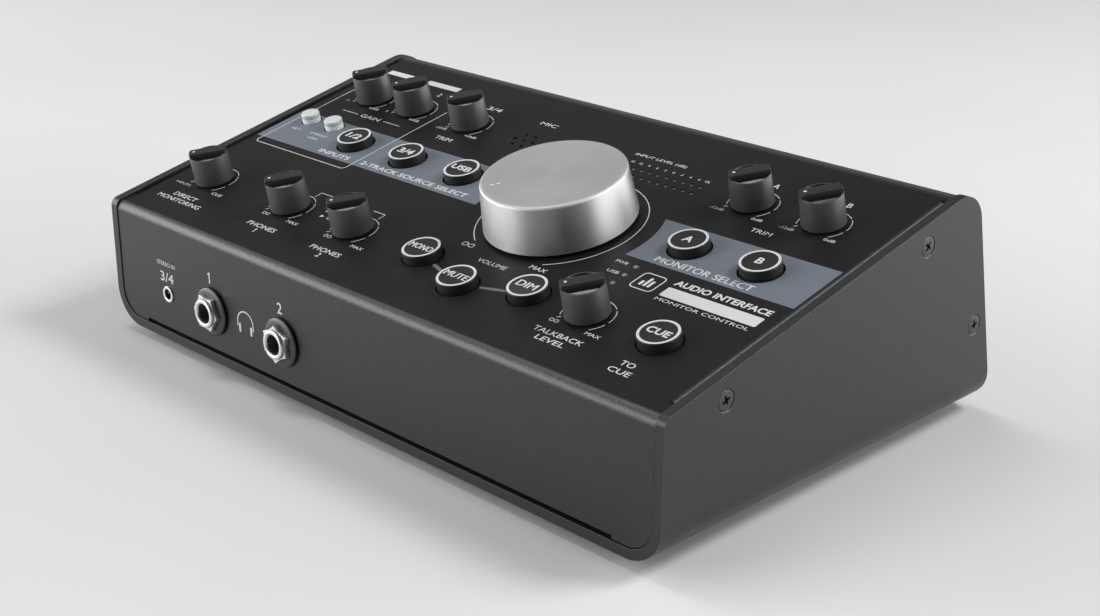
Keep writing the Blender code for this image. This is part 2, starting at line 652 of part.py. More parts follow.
for key, (x, z) in PHONES_JACKS.items():
    face = front_matrix(x, z, -NUT_PROUD)
    put("phones_jack_" + key, mesh_from(phones_jack, "phones_jack"), STEEL, face)
    put("phones_nut_" + key, mesh_from(hex_nut, "phones_nut"), STEEL, face @ Matrix.Rotation(math.radians(12), 4, "Z"))
    put("phones_collar_" + key, mesh_from(lambda bm: add_lathe(bm, [(4.75, 0.0), (7.65, 0.0), (7.6, 0.7), (7.0, 1.35), (6.0, 1.75), (4.75, 1.75)], 24), "phones_collar"), SOCKET, front_matrix(x, z, 0.0))


def mini_jack(bm):
    add_lathe(bm, [(0, -11.5), (1.75, -11.5), (1.75, 0.4), (2.7, 0.4), (3.0, 0.1), (3.0, -2.2), (3.1, -2.2), (3.1, -13.0), (0, -13.0)][::-1], 16)


put("line_in_mini_jack", mesh_from(mini_jack, "line_in_mini_jack"), STEEL, front_matrix(*MINI_JACK))


# ------------------------------------------------------------------ rear sockets
def combo_jack(bm):
    D = REAR_DEPTH
    add_lathe(bm, [(0, -D), (11.7, -D), (11.7, 0.3), (13.5, 0.3), (13.5, 1.8), (9.5, 1.8), (9.5, -14.0), (8.0, -14.0), (8.0, 0.2), (JACK_BORE_R, 0.2), (JACK_BORE_R, -20.0), (0, -20.0)], 20)


for key, x in COMBO_X.items():
    put("combo_input_jack_" + key, mesh_from(combo_jack, "combo_input_jack"), SOCKET, rear_matrix(x, COMBO_W))


def stacked_jacks(bm):
    mid = (STACK_W[0] + STACK_W[1]) / 2
    add_prism(bm, rect(-7.2, STACK_W[0] - mid - 7.5, 7.2, STACK_W[1] - mid + 7.5), -REAR_DEPTH, -2.0)


def stacked_noses(bm):
    mid = (STACK_W[0] + STACK_W[1]) / 2
    for w in STACK_W:
        add_prism(bm, circle(4.4, 12, 0, w - mid), -3.0, 2.2)


def stacked_rings(bm):
    mid = (STACK_W[0] + STACK_W[1]) / 2
    for w in STACK_W:
        add_prism(bm, circle(6.4, 12, 0, w - mid), 0.3, 1.4)


def stacked_bores(bm):
    mid = (STACK_W[0] + STACK_W[1]) / 2
    for w in STACK_W:
        add_prism(bm, circle(JACK_BORE_R, 16, 0, w - mid), -20.0, 3.0)


for key, x in STACK_X.items():
    ob = put(key + "_jacks", mesh_from(stacked_jacks, key + "_jacks"), SOCKET, rear_matrix(x, sum(STACK_W) / 2))
    boolean(ob, mesh_from(stacked_noses, "noses"), "UNION")
    boolean(ob, mesh_from(stacked_rings, "rings"), "UNION")
    boolean(ob, mesh_from(stacked_bores, "bores"), "DIFFERENCE")
    tidy(ob)

usb = put("usb_port", mesh_from(lambda bm: add_prism(bm, rect(-6.0, -5.5, 6.0, 5.5), -16.0, 0.6), "usb_port"), STEEL, rear_matrix(*USB_POS))
boolean(usb, mesh_from(lambda bm: add_prism(bm, [(-4.3, -3.95), (4.3, -3.95), (4.3, 2.3), (2.7, 3.95), (-2.7, 3.95), (-4.3, 2.3)], -11.0, 1.5), "usb_mouth"), "DIFFERENCE")
boolean(usb, mesh_from(lambda bm: add_prism(bm, rect(-2.8, -1.6, 2.8, 1.6), -12.0, -1.0), "usb_tongue"), "UNION")
tidy(usb)


def dc_inlet(bm):
    add_lathe(bm, [(0, -14.0), (5.4, -14.0), (5.4, -2.2), (4.2, -2.2), (4.2, 0.6), (2.9, 0.6), (2.9, -10.0), (1.0, -10.0), (1.0, -1.0), (0, -1.0)], 16)


put("dc_inlet", mesh_from(dc_inlet, "dc_inlet"), SOCKET, rear_matrix(*DC_POS))


def power_button(bm):
    add_lathe(bm, [(0, -12.0), (2.0, -12.0), (2.0, -3.4), (5.2, -3.4), (5.2, -1.9), (4.0, -1.9), (4.0, 2.7), (3.7, 3.0), (0, 3.0)], 18)


put("power_button", mesh_from(power_button, "power_button"), CAPM, rear_matrix(*POWER_POS))
bpy.context.view_layer.update()
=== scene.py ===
import json
import math

import bmesh
import bpy
from mathutils import Matrix, Vector

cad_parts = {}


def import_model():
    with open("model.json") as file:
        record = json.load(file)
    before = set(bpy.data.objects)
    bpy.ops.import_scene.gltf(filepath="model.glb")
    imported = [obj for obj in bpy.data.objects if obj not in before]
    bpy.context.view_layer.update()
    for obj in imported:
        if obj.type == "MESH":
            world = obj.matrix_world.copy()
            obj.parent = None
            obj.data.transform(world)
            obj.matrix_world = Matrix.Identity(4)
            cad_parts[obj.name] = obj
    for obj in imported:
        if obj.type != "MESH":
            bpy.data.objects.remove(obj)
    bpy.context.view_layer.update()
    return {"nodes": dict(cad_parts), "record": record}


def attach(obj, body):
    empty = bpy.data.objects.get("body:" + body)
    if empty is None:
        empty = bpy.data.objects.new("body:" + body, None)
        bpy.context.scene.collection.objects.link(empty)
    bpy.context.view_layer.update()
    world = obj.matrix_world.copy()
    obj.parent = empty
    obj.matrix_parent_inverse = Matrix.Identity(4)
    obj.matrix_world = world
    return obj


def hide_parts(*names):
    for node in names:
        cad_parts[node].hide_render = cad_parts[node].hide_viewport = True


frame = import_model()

# ---------------------------------------------------------------- sizes (mm), as the CAD has them
CASE_W, SHEET_T, BEND_R = 240.0, 3.0, 11.7
FRONT_H, REAR_TOP_Y, REAR_TOP_Z, REAR_FOOT_Y = 40.9, 130.2, 71.1, 146.6
SHELL_T, SHELL_HALF_W = 1.5, 116.7
PANEL_DROP, FRONT_INSET, REAR_INSET, FLANGE_DEPTH = 0.6, 0.3, 0.3, 11.0
FOOT_H, NUT_PROUD = 3.0, 3.6
SLOPE = math.atan2(REAR_TOP_Z - FRONT_H, REAR_TOP_Y)
LEAN = math.atan2(REAR_FOOT_Y - REAR_TOP_Y, REAR_TOP_Z)
Y_MID = (REAR_FOOT_Y - NUT_PROUD) / 2.0
MM = 0.001

SMALL_KNOBS = {
    "gain_knob_1": (-97.5, 95.5), "gain_knob_2": (-76.5, 95.5), "line_trim_knob": (-49.5, 96.0),
    "direct_monitor_knob": (-99.0, 27.0), "phones_level_knob_1": (-58.7, 27.2), "phones_level_knob_2": (-28.0, 27.0),
    "talkback_level_knob": (69.3, 27.0), "output_trim_knob_a": (69.3, 96.0), "output_trim_knob_b": (94.3, 96.0)}
BIG_KNOB = (25.6, 62.0)
BLACK_BUTTONS = {
    "source_button_12": (-75.2, 67.7, "1/2"), "source_button_34": (-49.4, 68.0, "3/4"), "source_button_usb": (-23.2, 68.1, "USB"),
    "mono_button": (4.0, 26.7, "MONO"), "mute_button": (25.7, 20.4, "MUTE"), "dim_button": (47.5, 26.6, "DIM"),
    "output_button_a": (70.0, 67.4, "A"), "output_button_b": (95.0, 67.4, "B"), "cue_button": (94.9, 26.7, "CUE")}
TALLY_BUTTONS = {"phantom_button": (-105.2, 72.9), "instrument_button": (-92.8, 72.9)}
STATUS_LEDS = [(63.6, 52.4), (63.6, 47.6), (63.6, 42.8)]
METER_X0, METER_PITCH, METER_N, METER_ROWS = 25.7, 3.3, 15, (97.0, 92.9)
MIC_CENTRE, MIC_PITCH = (-23.8, 95.6), 3.9
WELL_R, TALLY_HOLE_R = 6.45, 3.5
PHONES_JACKS = {"1": (-65.8, 16.9), "2": (-30.4, 16.9)}
MINI_JACK = (-90.3, 15.8)
SCREWS = {"front": (22.6, 39.2), "rear_upper": (106.4, 58.7), "rear_lower": (134.0, 28.4)}
COMBO_X, COMBO_W = {"1": -92.0, "2": -60.0}, 27.0
STACK_X, STACK_W = {"line_in": -30.0, "output_a": 2.0, "output_b": 30.0}, (17.0, 37.0)
USB_POS, DC_POS, POWER_POS, REAR_DEPTH = (58.0, 20.0), (80.0, 19.0), (100.0, 21.0), 25.0


def body_of(node):
    for name, members in frame["record"]["behaviour"]["bodies"].items():
        if node in members:
            return name
    raise KeyError(node)


# ---------------------------------------------------------------- frames
def world(x, y, z):
    return Vector((x * MM, (y - Y_MID) * MM, (z + FOOT_H) * MM))


def panel_matrix(x=0.0, s=0.0, n=0.0):
    c, k = math.cos(SLOPE), math.sin(SLOPE)
    n0 = n - PANEL_DROP
    return Matrix.Translation(world(x, s * c - n0 * k, FRONT_H + s * k + n0 * c)) @ Matrix.Rotation(SLOPE, 4, "X")


def basis(origin, out, up):
    side = up.cross(out)
    return Matrix.Translation(origin) @ Matrix((side, up, out)).transposed().to_4x4()


def rear_matrix(x=0.0, w=0.0, d=0.0):
    c, k = math.cos(LEAN), math.sin(LEAN)
    d0 = d - REAR_INSET
    return basis(world(x, REAR_FOOT_Y - w * k + d0 * c, w * c + d0 * k), Vector((0, c, k)), Vector((0, -k, c)))


def front_matrix(x, z, y=0.0):
    return basis(world(x, y, z), Vector((0, -1, 0)), Vector((0, 0, 1)))


def side_matrix(sign, y, z):
    return basis(world(sign * CASE_W / 2, y, z), Vector((sign, 0, 0)), Vector((0, 0, 1)))


DEV = Matrix.Translation(world(0, 0, 0))
DEV_INV = DEV.inverted()


# ---------------------------------------------------------------- mesh helpers
def circle(r, seg, cx=0.0, cy=0.0, turn=0.0):
    return [(cx + r * math.cos(2 * math.pi * i / seg + turn), cy + r * math.sin(2 * math.pi * i / seg + turn)) for i in range(seg)]


def rect(x0, y0, x1, y1):
    return [(x0, y0), (x1, y0), (x1, y1), (x0, y1)]


def arc_points(cx, cy, r, a0, a1, n):
    return [(cx + r * math.cos(math.radians(a0 + (a1 - a0) * i / n)), cy + r * math.sin(math.radians(a0 + (a1 - a0) * i / n))) for i in range(n + 1)]


def add_layers(bm, layers, m=None, mat=0, caps=(True, True)):
    """Stack of outlines with the same number of points: [(outline, z), ...] from low to high."""
    m = m or Matrix.Identity(4)
    rings = [[bm.verts.new(m @ Vector((p[0] * MM, p[1] * MM, z * MM))) for p in o] for o, z in layers]
    n = len(rings[0])
    faces = []
    if caps[0]:
        faces.append(bm.faces.new(list(reversed(rings[0]))))
    if caps[1]:
        faces.append(bm.faces.new(rings[-1]))
    for a, b in zip(rings[:-1], rings[1:]):
        for i in range(n):
            j = (i + 1) % n
            faces.append(bm.faces.new([a[i], a[j], b[j], b[i]]))
    for f in faces:
        f.material_index = mat
    return rings


def add_prism(bm, outline, z0, z1, m=None, mat=0):
    add_layers(bm, [(outline, z0), (outline, z1)], m, mat)


def add_lathe(bm, profile, seg, m=None, mats=None, turn=0.0, mat=0):
    """Turned solid from (r, z) points.  mats gives a material index per profile step."""
    m = m or Matrix.Identity(4)
    closed = not (profile[0][0] == 0 and profile[-1][0] == 0)
    rings = []
    for r, z in profile:
        if r == 0:
            rings.append([bm.verts.new(m @ Vector((0, 0, z * MM)))])
        else:
            rings.append([bm.verts.new(m @ Vector((r * MM * math.cos(2 * math.pi * i / seg + turn), r * MM * math.sin(2 * math.pi * i / seg + turn), z * MM))) for i in range(seg)])
    pairs = list(zip(rings[:-1], rings[1:]))
    if closed:
        pairs.append((rings[-1], rings[0]))
    for k, (a, b) in enumerate(pairs):
        mi = mats[k] if mats else mat
        for i in range(seg):
            j = (i + 1) % seg
            if len(a) == 1 and len(b) == 1:
                continue
            if len(a) == 1:
                f = bm.faces.new([a[0], b[j], b[i]])
            elif len(b) == 1:
                f = bm.faces.new([a[i], a[j], b[0]])
            else:
                f = bm.faces.new([a[i], a[j], b[j], b[i]])
            f.material_index = mi


def soften(profile, radius, n=3):
    """Rounds the inner corners of an (r, z) profile.  radius is a number or one per point."""
    out = [profile[0]]
    for i in range(1, len(profile) - 1):
        r = radius[i] if isinstance(radius, (list, tuple)) else radius
        p, a, b = Vector(profile[i]), Vector(profile[i - 1]), Vector(profile[i + 1])
        u, v = (a - p), (b - p)
        if r <= 0 or u.length < 1e-9 or v.length < 1e-9:
            out.append(profile[i])
            continue
        ang = u.angle(v)
        if ang > math.radians(172):
            out.append(profile[i])
            continue
        t = min(r / math.tan(ang / 2), u.length * 0.45, v.length * 0.45)
        p0, p1 = p + u.normalized() * t, p + v.normalized() * t
        for k in range(n + 1):
            w = k / n
            q = p0 * (1 - w) ** 2 + p * 2 * w * (1 - w) + p1 * w ** 2
            out.append((q.x, q.y))
    out.append(profile[-1])
    return out


def mesh_from(build, name, recalc=True):
    bm = bmesh.new()
    build(bm)
    if recalc:
        bmesh.ops.recalc_face_normals(bm, faces=bm.faces[:])
    me = bpy.data.meshes.new(name)
    bm.to_mesh(me)
    bm.free()
    return me


def put(name, me, mats, matrix=None, body=None, replaces=(), sharp=35):
    ob = bpy.data.objects.new(name, me)
    bpy.context.scene.collection.objects.link(ob)
    if matrix is not None:
        ob.matrix_world = matrix
    for m in (mats if isinstance(mats, (list, tuple)) else [mats]):
        me.materials.append(m)
    if sharp is not None:
        me.shade_smooth()
        me.set_sharp_from_angle(angle=math.radians(sharp))
    if body:
        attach(ob, body)
        if replaces:
            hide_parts(*replaces)
    return ob


def boolean(ob, cutter_mesh, operation, matrix=None):
    cut = bpy.data.objects.new("cutter", cutter_mesh)
    bpy.context.scene.collection.objects.link(cut)
    cut.matrix_world = ob.matrix_world if matrix is None else matrix
    mod = ob.modifiers.new("cut", "BOOLEAN")
    mod.operation = operation
    mod.solver = "EXACT"
    mod.object = cut
    bake_modifiers(ob)
    bpy.data.objects.remove(cut, do_unlink=True)


def bake_modifiers(ob):
    bpy.context.view_layer.update()
    dg = bpy.context.evaluated_depsgraph_get()
    me = bpy.data.meshes.new_from_object(ob.evaluated_get(dg))
    old = ob.data
    mats = [m for m in old.materials]
    index = [min(p.material_index, len(mats) - 1) for p in me.polygons]
    ob.modifiers.clear()
    ob.data = me
    me.materials.clear()
    for m in mats:
        me.materials.append(m)
    me.polygons.foreach_set("material_index", index)
    bpy.data.meshes.remove(old)


def clean(ob):
    bm = bmesh.new()
    bm.from_mesh(ob.data)
    bmesh.ops.remove_doubles(bm, verts=bm.verts[:], dist=1e-6)
    bmesh.ops.dissolve_limit(bm, angle_limit=math.radians(0.2), use_dissolve_boundaries=False, verts=bm.verts[:], edges=bm.edges[:], delimit={"MATERIAL"})
    bmesh.ops.dissolve_degenerate(bm, dist=1e-6, edges=bm.edges[:])
    bm.to_mesh(ob.data)
    bm.free()


def edge_round(ob, width, segments=2, angle=40, material=-1):
    mod = ob.modifiers.new("round", "BEVEL")
    mod.width = width * MM
    mod.segments = segments
    mod.limit_method = "ANGLE"
    mod.angle_limit = math.radians(angle)
    mod.use_clamp_overlap = True
    mod.miter_outer = "MITER_ARC"
    mod.harden_normals = False
    mod.material = material
    bake_modifiers(ob)
    ob.data.shade_smooth()
    ob.data.set_sharp_from_angle(angle=math.radians(55))
    wn = ob.modifiers.new("normals", "WEIGHTED_NORMAL")
    wn.mode = "FACE_AREA_WITH_ANGLE"
    wn.keep_sharp = True
    wn.weight = 80


def line_hit(p, d, q, e):
    det = d[0] * -e[1] + d[1] * e[0]
    t = ((q[0] - p[0]) * -e[1] + (q[1] - p[1]) * e[0]) / det
    return (p[0] + d[0] * t, p[1] + d[1] * t)


def fillet(corner, d_in, d_out, r, n):
    li, lo = math.hypot(*d_in), math.hypot(*d_out)
    a, b = (-d_in[0] / li, -d_in[1] / li), (d_out[0] / lo, d_out[1] / lo)
    ang = math.acos(max(-1, min(1, a[0] * b[0] + a[1] * b[1])))
    t = r / math.tan(ang / 2)
    p0 = (corner[0] + a[0] * t, corner[1] + a[1] * t)
    bis = (a[0] + b[0], a[1] + b[1])
    lb = math.hypot(*bis)
    h = r / math.sin(ang / 2)
    c = (corner[0] + bis[0] / lb * h, corner[1] + bis[1] / lb * h)
    a0 = math.atan2(p0[1] - c[1], p0[0] - c[0])
    p1 = (corner[0] + b[0] * t, corner[1] + b[1] * t)
    a1 = math.atan2(p1[1] - c[1], p1[0] - c[0])
    while a1 - a0 > math.pi:
        a1 -= 2 * math.pi
    while a1 - a0 < -math.pi:
        a1 += 2 * math.pi
    return [(c[0] + r * math.cos(a0 + (a1 - a0) * i / n), c[1] + r * math.sin(a0 + (a1 - a0) * i / n)) for i in range(n + 1)]


def wedge_path(front_in, drop, rear_in, r_front, r_rear, z_low, n_front=8, n_rear=14):
    s = (math.cos(SLOPE), math.sin(SLOPE))
    down = (math.sin(LEAN), -math.cos(LEAN))
    top_p = (drop * math.sin(SLOPE), FRONT_H - drop * math.cos(SLOPE))
    rear_p = (REAR_TOP_Y - rear_in * math.cos(LEAN), REAR_TOP_Z - rear_in * math.sin(LEAN))
    c1 = line_hit((front_in, 0), (0, 1), top_p, s)
    c2 = line_hit(top_p, s, rear_p, down)
    low = line_hit(rear_p, down, (0, z_low), (1, 0))
    return [(front_in, z_low)] + fillet(c1, (0, 1), s, r_front, n_front) + fillet(c2, s, down, r_rear, n_rear) + [low]


def add_extrusion_x(bm, outline_yz, x0, x1):
    a = [bm.verts.new((x0 * MM, p[0] * MM, p[1] * MM)) for p in outline_yz]
    b = [bm.verts.new((x1 * MM, p[0] * MM, p[1] * MM)) for p in outline_yz]
    n = len(outline_yz)
    bm.faces.new(a)
    bm.faces.new(list(reversed(b)))
    for i in range(n):
        j = (i + 1) % n
        bm.faces.new([a[i], b[i], b[j], a[j]])


def add_extrusion_y(bm, outline_xz, y0, y1):
    a = [bm.verts.new((p[0] * MM, y0 * MM, p[1] * MM)) for p in outline_xz]
    b = [bm.verts.new((p[0] * MM, y1 * MM, p[1] * MM)) for p in outline_xz]
    n = len(outline_xz)
    bm.faces.new(a)
    bm.faces.new(list(reversed(b)))
    for i in range(n):
        j = (i + 1) % n
        bm.faces.new([a[i], b[i], b[j], a[j]])


# ---------------------------------------------------------------- materials
class Mat:
    """Small wrapper that builds a node material step by step."""

    def __init__(self, name, rough=0.5, metal=0.0, spec=0.5, coat=0.0, coat_rough=0.1):
        self.m = bpy.data.materials.new(name)
        self.m.use_nodes = True
        self.t = self.m.node_tree
        self.b = self.t.nodes["Principled BSDF"]
        self.b.inputs["Roughness"].default_value = rough
        self.b.inputs["Metallic"].default_value = metal
        self.b.inputs["Specular IOR Level"].default_value = spec
        self.b.inputs["Coat Weight"].default_value = coat
        self.b.inputs["Coat Roughness"].default_value = coat_rough
        self.coord = self.t.nodes.new("ShaderNodeTexCoord")

    def node(self, kind, **inputs):
        n = self.t.nodes.new(kind)
        for k, v in inputs.items():
            n.inputs[k.replace("_", " ")].default_value = v
        return n

    def link(self, a, b):
        self.t.links.new(a, b)

    def noise(self, scale, detail=3.0, rough=0.55, stretch=None, distortion=0.0):
        n = self.node("ShaderNodeTexNoise", Scale=scale, Detail=detail, Roughness=rough, Distortion=distortion)
        if stretch:
            mp = self.node("ShaderNodeMapping", Scale=stretch)
            self.link(self.coord.outputs["Object"], mp.inputs["Vector"])
            self.link(mp.outputs["Vector"], n.inputs["Vector"])
        else:
            self.link(self.coord.outputs["Object"], n.inputs["Vector"])
        return n.outputs["Fac"]

    def ramp(self, fac, stops):
        r = self.t.nodes.new("ShaderNodeValToRGB")
        els = r.color_ramp.elements
        while len(els) < len(stops):
            els.new(0.5)
        for e, (pos, col) in zip(els, stops):
            e.position = pos
            e.color = (*col, 1.0) if len(col) == 3 else col
        self.link(fac, r.inputs["Fac"])
        return r.outputs["Color"]

    def spread(self, fac, lo, hi):
        n = self.t.nodes.new("ShaderNodeMapRange")
        n.inputs["To Min"].default_value = lo
        n.inputs["To Max"].default_value = hi
        self.link(fac, n.inputs["Value"])
        return n.outputs["Result"]

    def colour(self, out):
        self.link(out, self.b.inputs["Base Color"])
        return self

    def roughness(self, out):
        self.link(out, self.b.inputs["Roughness"])
        return self

    def bump(self, *layers):
        """layers: (height socket, distance in mm)"""
        prev = None
        for out, dist in layers:
            n = self.t.nodes.new("ShaderNodeBump")
            n.inputs["Distance"].default_value = dist * MM
            n.inputs["Strength"].default_value = 1.0
            self.link(out, n.inputs["Height"])
            if prev is not None:
                self.link(prev, n.inputs["Normal"])
            prev = n.outputs["Normal"]
        self.link(prev, self.b.inputs["Normal"])
        return self


def grey(v, tint=(1.0, 1.0, 1.0)):
    return (v * tint[0], v * tint[1], v * tint[2])


def powder(name, base, rough, grain=0.022, tint=(1, 1, 1.02), spec=0.5):
    """Fine powder coat: a grain of about 0.4 mm, faint mottling and soft handling marks."""
    m = Mat(name, rough, 0.0, spec)
    fine = m.noise(2600.0, 2.0, 0.6)
    cell = m.node("ShaderNodeTexVoronoi", Scale=1700.0)
    m.link(m.coord.outputs["Object"], cell.inputs["Vector"])
    marks = m.noise(26.0, 5.0, 0.62, distortion=0.3)
    m.colour(m.ramp(fine, [(0.3, grey(base * 0.82, tint)), (0.72, grey(base * 1.2, tint))]))
    m.roughness(m.spread(marks, rough - 0.05, rough + 0.07))
    m.bump((fine, grain), (cell.outputs["Distance"], grain * 0.8))
    return m.m


def moulded(name, base, rough, tint=(1, 1, 1), grain=0.006, spec=0.5, coat=0.0):
    """Moulded plastic: very fine spark-eroded texture with slight sheen variation."""
    m = Mat(name, rough, 0.0, spec, coat)
    fine = m.noise(5200.0, 2.0, 0.5)
    marks = m.noise(90.0, 4.0, 0.6)
    m.colour(m.ramp(marks, [(0.25, grey(base * 0.85, tint)), (0.8, grey(base * 1.15, tint))]))
    m.roughness(m.spread(marks, rough - 0.05, rough + 0.06))
    m.bump((fine, grain))
    return m.m


def printed(name, base, tint=(1, 1, 1), rough=0.55):
    """Screen-printed ink: slightly mottled, a touch duller than what it is printed on."""
    m = Mat(name, rough, 0.0, 0.35)
    fine = m.noise(1800.0, 3.0, 0.6)
    m.colour(m.ramp(fine, [(0.25, grey(base * 0.9, tint)), (0.75, grey(base * 1.06, tint))]))
    m.roughness(m.spread(fine, rough - 0.04, rough + 0.08))
    m.bump((fine, 0.004))
    return m.m


def spun_metal(name, base, rough, groove=0.006, aniso=0.75, tint=(1.0, 0.992, 0.975), scale=9000.0):
    """Turned metal: concentric grooves about the object's own Z axis."""
    m = Mat(name, rough, 1.0)
    sep = m.t.nodes.new("ShaderNodeSeparateXYZ")
    m.link(m.coord.outputs["Object"], sep.inputs[0])
    vec = m.t.nodes.new("ShaderNodeCombineXYZ")
    rad = m.t.nodes.new("ShaderNodeVectorMath")
    rad.operation = "LENGTH"
    flat = m.t.nodes.new("ShaderNodeCombineXYZ")
    m.link(sep.outputs["X"], flat.inputs["X"])
    m.link(sep.outputs["Y"], flat.inputs["Y"])
    m.link(flat.outputs[0], rad.inputs[0])
    m.link(rad.outputs["Value"], vec.inputs["X"])
    m.link(sep.outputs["Z"], vec.inputs["Y"])
    rings = m.node("ShaderNodeTexNoise", Scale=scale, Detail=2.0, Roughness=0.6)
    m.link(vec.outputs[0], rings.inputs["Vector"])
    broad = m.node("ShaderNodeTexNoise", Scale=scale * 0.12, Detail=2.0, Roughness=0.5)
    m.link(vec.outputs[0], broad.inputs["Vector"])
    m.colour(m.ramp(rings.outputs["Fac"], [(0.2, grey(base * 0.93, tint)), (0.8, grey(base * 1.05, tint))]))
    m.roughness(m.spread(broad.outputs["Fac"], rough - 0.05, rough + 0.06))
    m.b.inputs["Anisotropic"].default_value = aniso
    m.b.inputs["Anisotropic Rotation"].default_value = 0.25
    tan = m.t.nodes.new("ShaderNodeTangent")
    tan.direction_type = "RADIAL"
    tan.axis = "Z"
    m.link(tan.outputs["Tangent"], m.b.inputs["Tangent"])
    m.bump((rings.outputs["Fac"], groove))
    return m.m


def plated(name, base, rough, tint=(1, 0.99, 0.97)):
    m = Mat(name, rough, 1.0)
    fine = m.noise(2200.0, 3.0, 0.6)
    marks = m.noise(240.0, 3.0, 0.6)
    m.colour(m.ramp(marks, [(0.2, grey(base * 0.9, tint)), (0.8, grey(base * 1.05, tint))]))
    m.roughness(m.spread(marks, rough - 0.04, rough + 0.08))
    m.bump((fine, 0.003))
    return m.m


def shell_paint(name, spec):
    """Powder coat like the chassis, with a smoother and darker overprint on the control surface, and a painted
    highlight: the bends next to it are painted lighter.
    """
    m = Mat(name, 0.45, 0.0, spec)
    sep = m.t.nodes.new("ShaderNodeSeparateXYZ")
    m.link(m.coord.outputs["Object"], sep.inputs[0])

    def math_node(op, a, b):
        n = m.t.nodes.new("ShaderNodeMath")
        n.operation = op
        for k, v in ((0, a), (1, b)):
            if isinstance(v, (int, float)):
                n.inputs[k].default_value = v
            else:
                m.link(v, n.inputs[k])
        return n.outputs[0]

    along = math_node("ADD", math_node("MULTIPLY", sep.outputs["Y"], math.cos(SLOPE)), math_node("MULTIPLY", math_node("SUBTRACT", sep.outputs["Z"], FRONT_H * MM), math.sin(SLOPE)))
    across = math_node("SUBTRACT", math_node("MULTIPLY", math_node("SUBTRACT", sep.outputs["Z"], FRONT_H * MM), math.cos(SLOPE)), math_node("MULTIPLY", sep.outputs["Y"], math.sin(SLOPE)))
    a = m.t.nodes.new("ShaderNodeMapRange")
    a.interpolation_type = "SMOOTHSTEP"
    a.inputs["From Min"].default_value = 2.0 * MM
    a.inputs["From Max"].default_value = 2.7 * MM
    m.link(along, a.inputs["Value"])
    b = m.t.nodes.new("ShaderNodeMapRange")
    b.inputs["From Min"].default_value = -0.78 * MM
    b.inputs["From Max"].default_value = -0.70 * MM
    m.link(across, b.inputs["Value"])
    mask = math_node("MULTIPLY", a.outputs["Result"], b.outputs["Result"])
    fine = m.noise(2000.0, 2.0, 0.6)
    cell = m.node("ShaderNodeTexVoronoi", Scale=1500.0)
    m.link(m.coord.outputs["Object"], cell.inputs["Vector"])
    marks = m.noise(26.0, 5.0, 0.62, distortion=0.3)
    mix = m.t.nodes.new("ShaderNodeMix")
    mix.data_type = "RGBA"
    m.link(mask, mix.inputs["Factor"])
    # Painted highlight: the bends next to the control surface (front, sides and rear) fade from the case tone to a much
    # lighter grey towards the top, in place of the light they catch.
    bend = m.t.nodes.new("ShaderNodeMapRange")
    bend.interpolation_type = "SMOOTHSTEP"
    bend.inputs["From Min"].default_value = -3.2 * MM
    bend.inputs["From Max"].default_value = -0.9 * MM
    m.link(across, bend.inputs["Value"])
    bend_painted_highlight = m.t.nodes.new("ShaderNodeMix")
    bend_painted_highlight.data_type = "RGBA"
    m.link(bend.outputs["Result"], bend_painted_highlight.inputs["Factor"])
    m.link(m.ramp(fine, [(0.3, grey(CASE_TONE * 0.82)), (0.72, grey(CASE_TONE * 1.2))]), bend_painted_highlight.inputs["A"])
    m.link(m.ramp(fine, [(0.3, grey(0.040)), (0.72, grey(0.072))]), bend_painted_highlight.inputs["B"])
    m.link(bend_painted_highlight.outputs["Result"], mix.inputs["A"])
    m.link(m.ramp(fine, [(0.3, grey(PANEL_TONE * 0.9)), (0.72, grey(PANEL_TONE * 1.1))]), mix.inputs["B"])
    m.colour(mix.outputs["Result"])
    rough = m.t.nodes.new("ShaderNodeMix")
    rough.data_type = "FLOAT"
    m.link(mask, rough.inputs["Factor"])
    m.link(m.spread(marks, 0.34, 0.44), rough.inputs["A"])
    m.link(m.spread(marks, 0.44, 0.56), rough.inputs["B"])
    m.roughness(rough.outputs["Result"])
    height = m.t.nodes.new("ShaderNodeMix")
    height.data_type = "FLOAT"
    m.link(mask, height.inputs["Factor"])
    m.link(fine, height.inputs["A"])
    m.link(m.spread(fine, 0.45, 0.6), height.inputs["B"])
    pits = m.t.nodes.new("ShaderNodeMix")
    pits.data_type = "FLOAT"
    m.link(mask, pits.inputs["Factor"])
    m.link(cell.outputs["Distance"], pits.inputs["A"])
    m.link(m.spread(cell.outputs["Distance"], 0.2, 0.4), pits.inputs["B"])
    m.bump((height.outputs["Result"], 0.040), (pits.outputs["Result"], 0.032))
    return m.m


CASE_TONE, PANEL_TONE = 0.0145, 0.0105
M_CASE = powder("case_powder_coat", CASE_TONE, 0.40, 0.024, (1.0, 1.0, 1.02), 0.44)
# Lighter, glossier paint for the chassis's rounded edges: partly rubbed wear, partly a painted highlight along the edge
# lines.
M_EDGE = powder("case_edge_wear_and_painted_highlight", 0.050, 0.30, 0.012, (1.0, 1.0, 1.02), 0.8)
M_PANEL = shell_paint("shell_powder_coat", 0.46)
M_PRINT = shell_paint("control_surface_overprint", 0.15)
M_BAND = printed("band_ink", 0.165, (0.86, 0.98, 1.16), 0.5)
M_INK = printed("legend_ink", 0.62)
M_INK_DIM = printed("legend_ink_grey", 0.16, (0.9, 0.98, 1.1))
M_KNOB = moulded("knob_satin_plastic", 0.052, 0.40)
M_KNOB_TOP = moulded("knob_gloss_plastic", 0.030, 0.22, grain=0.002, coat=0.5)
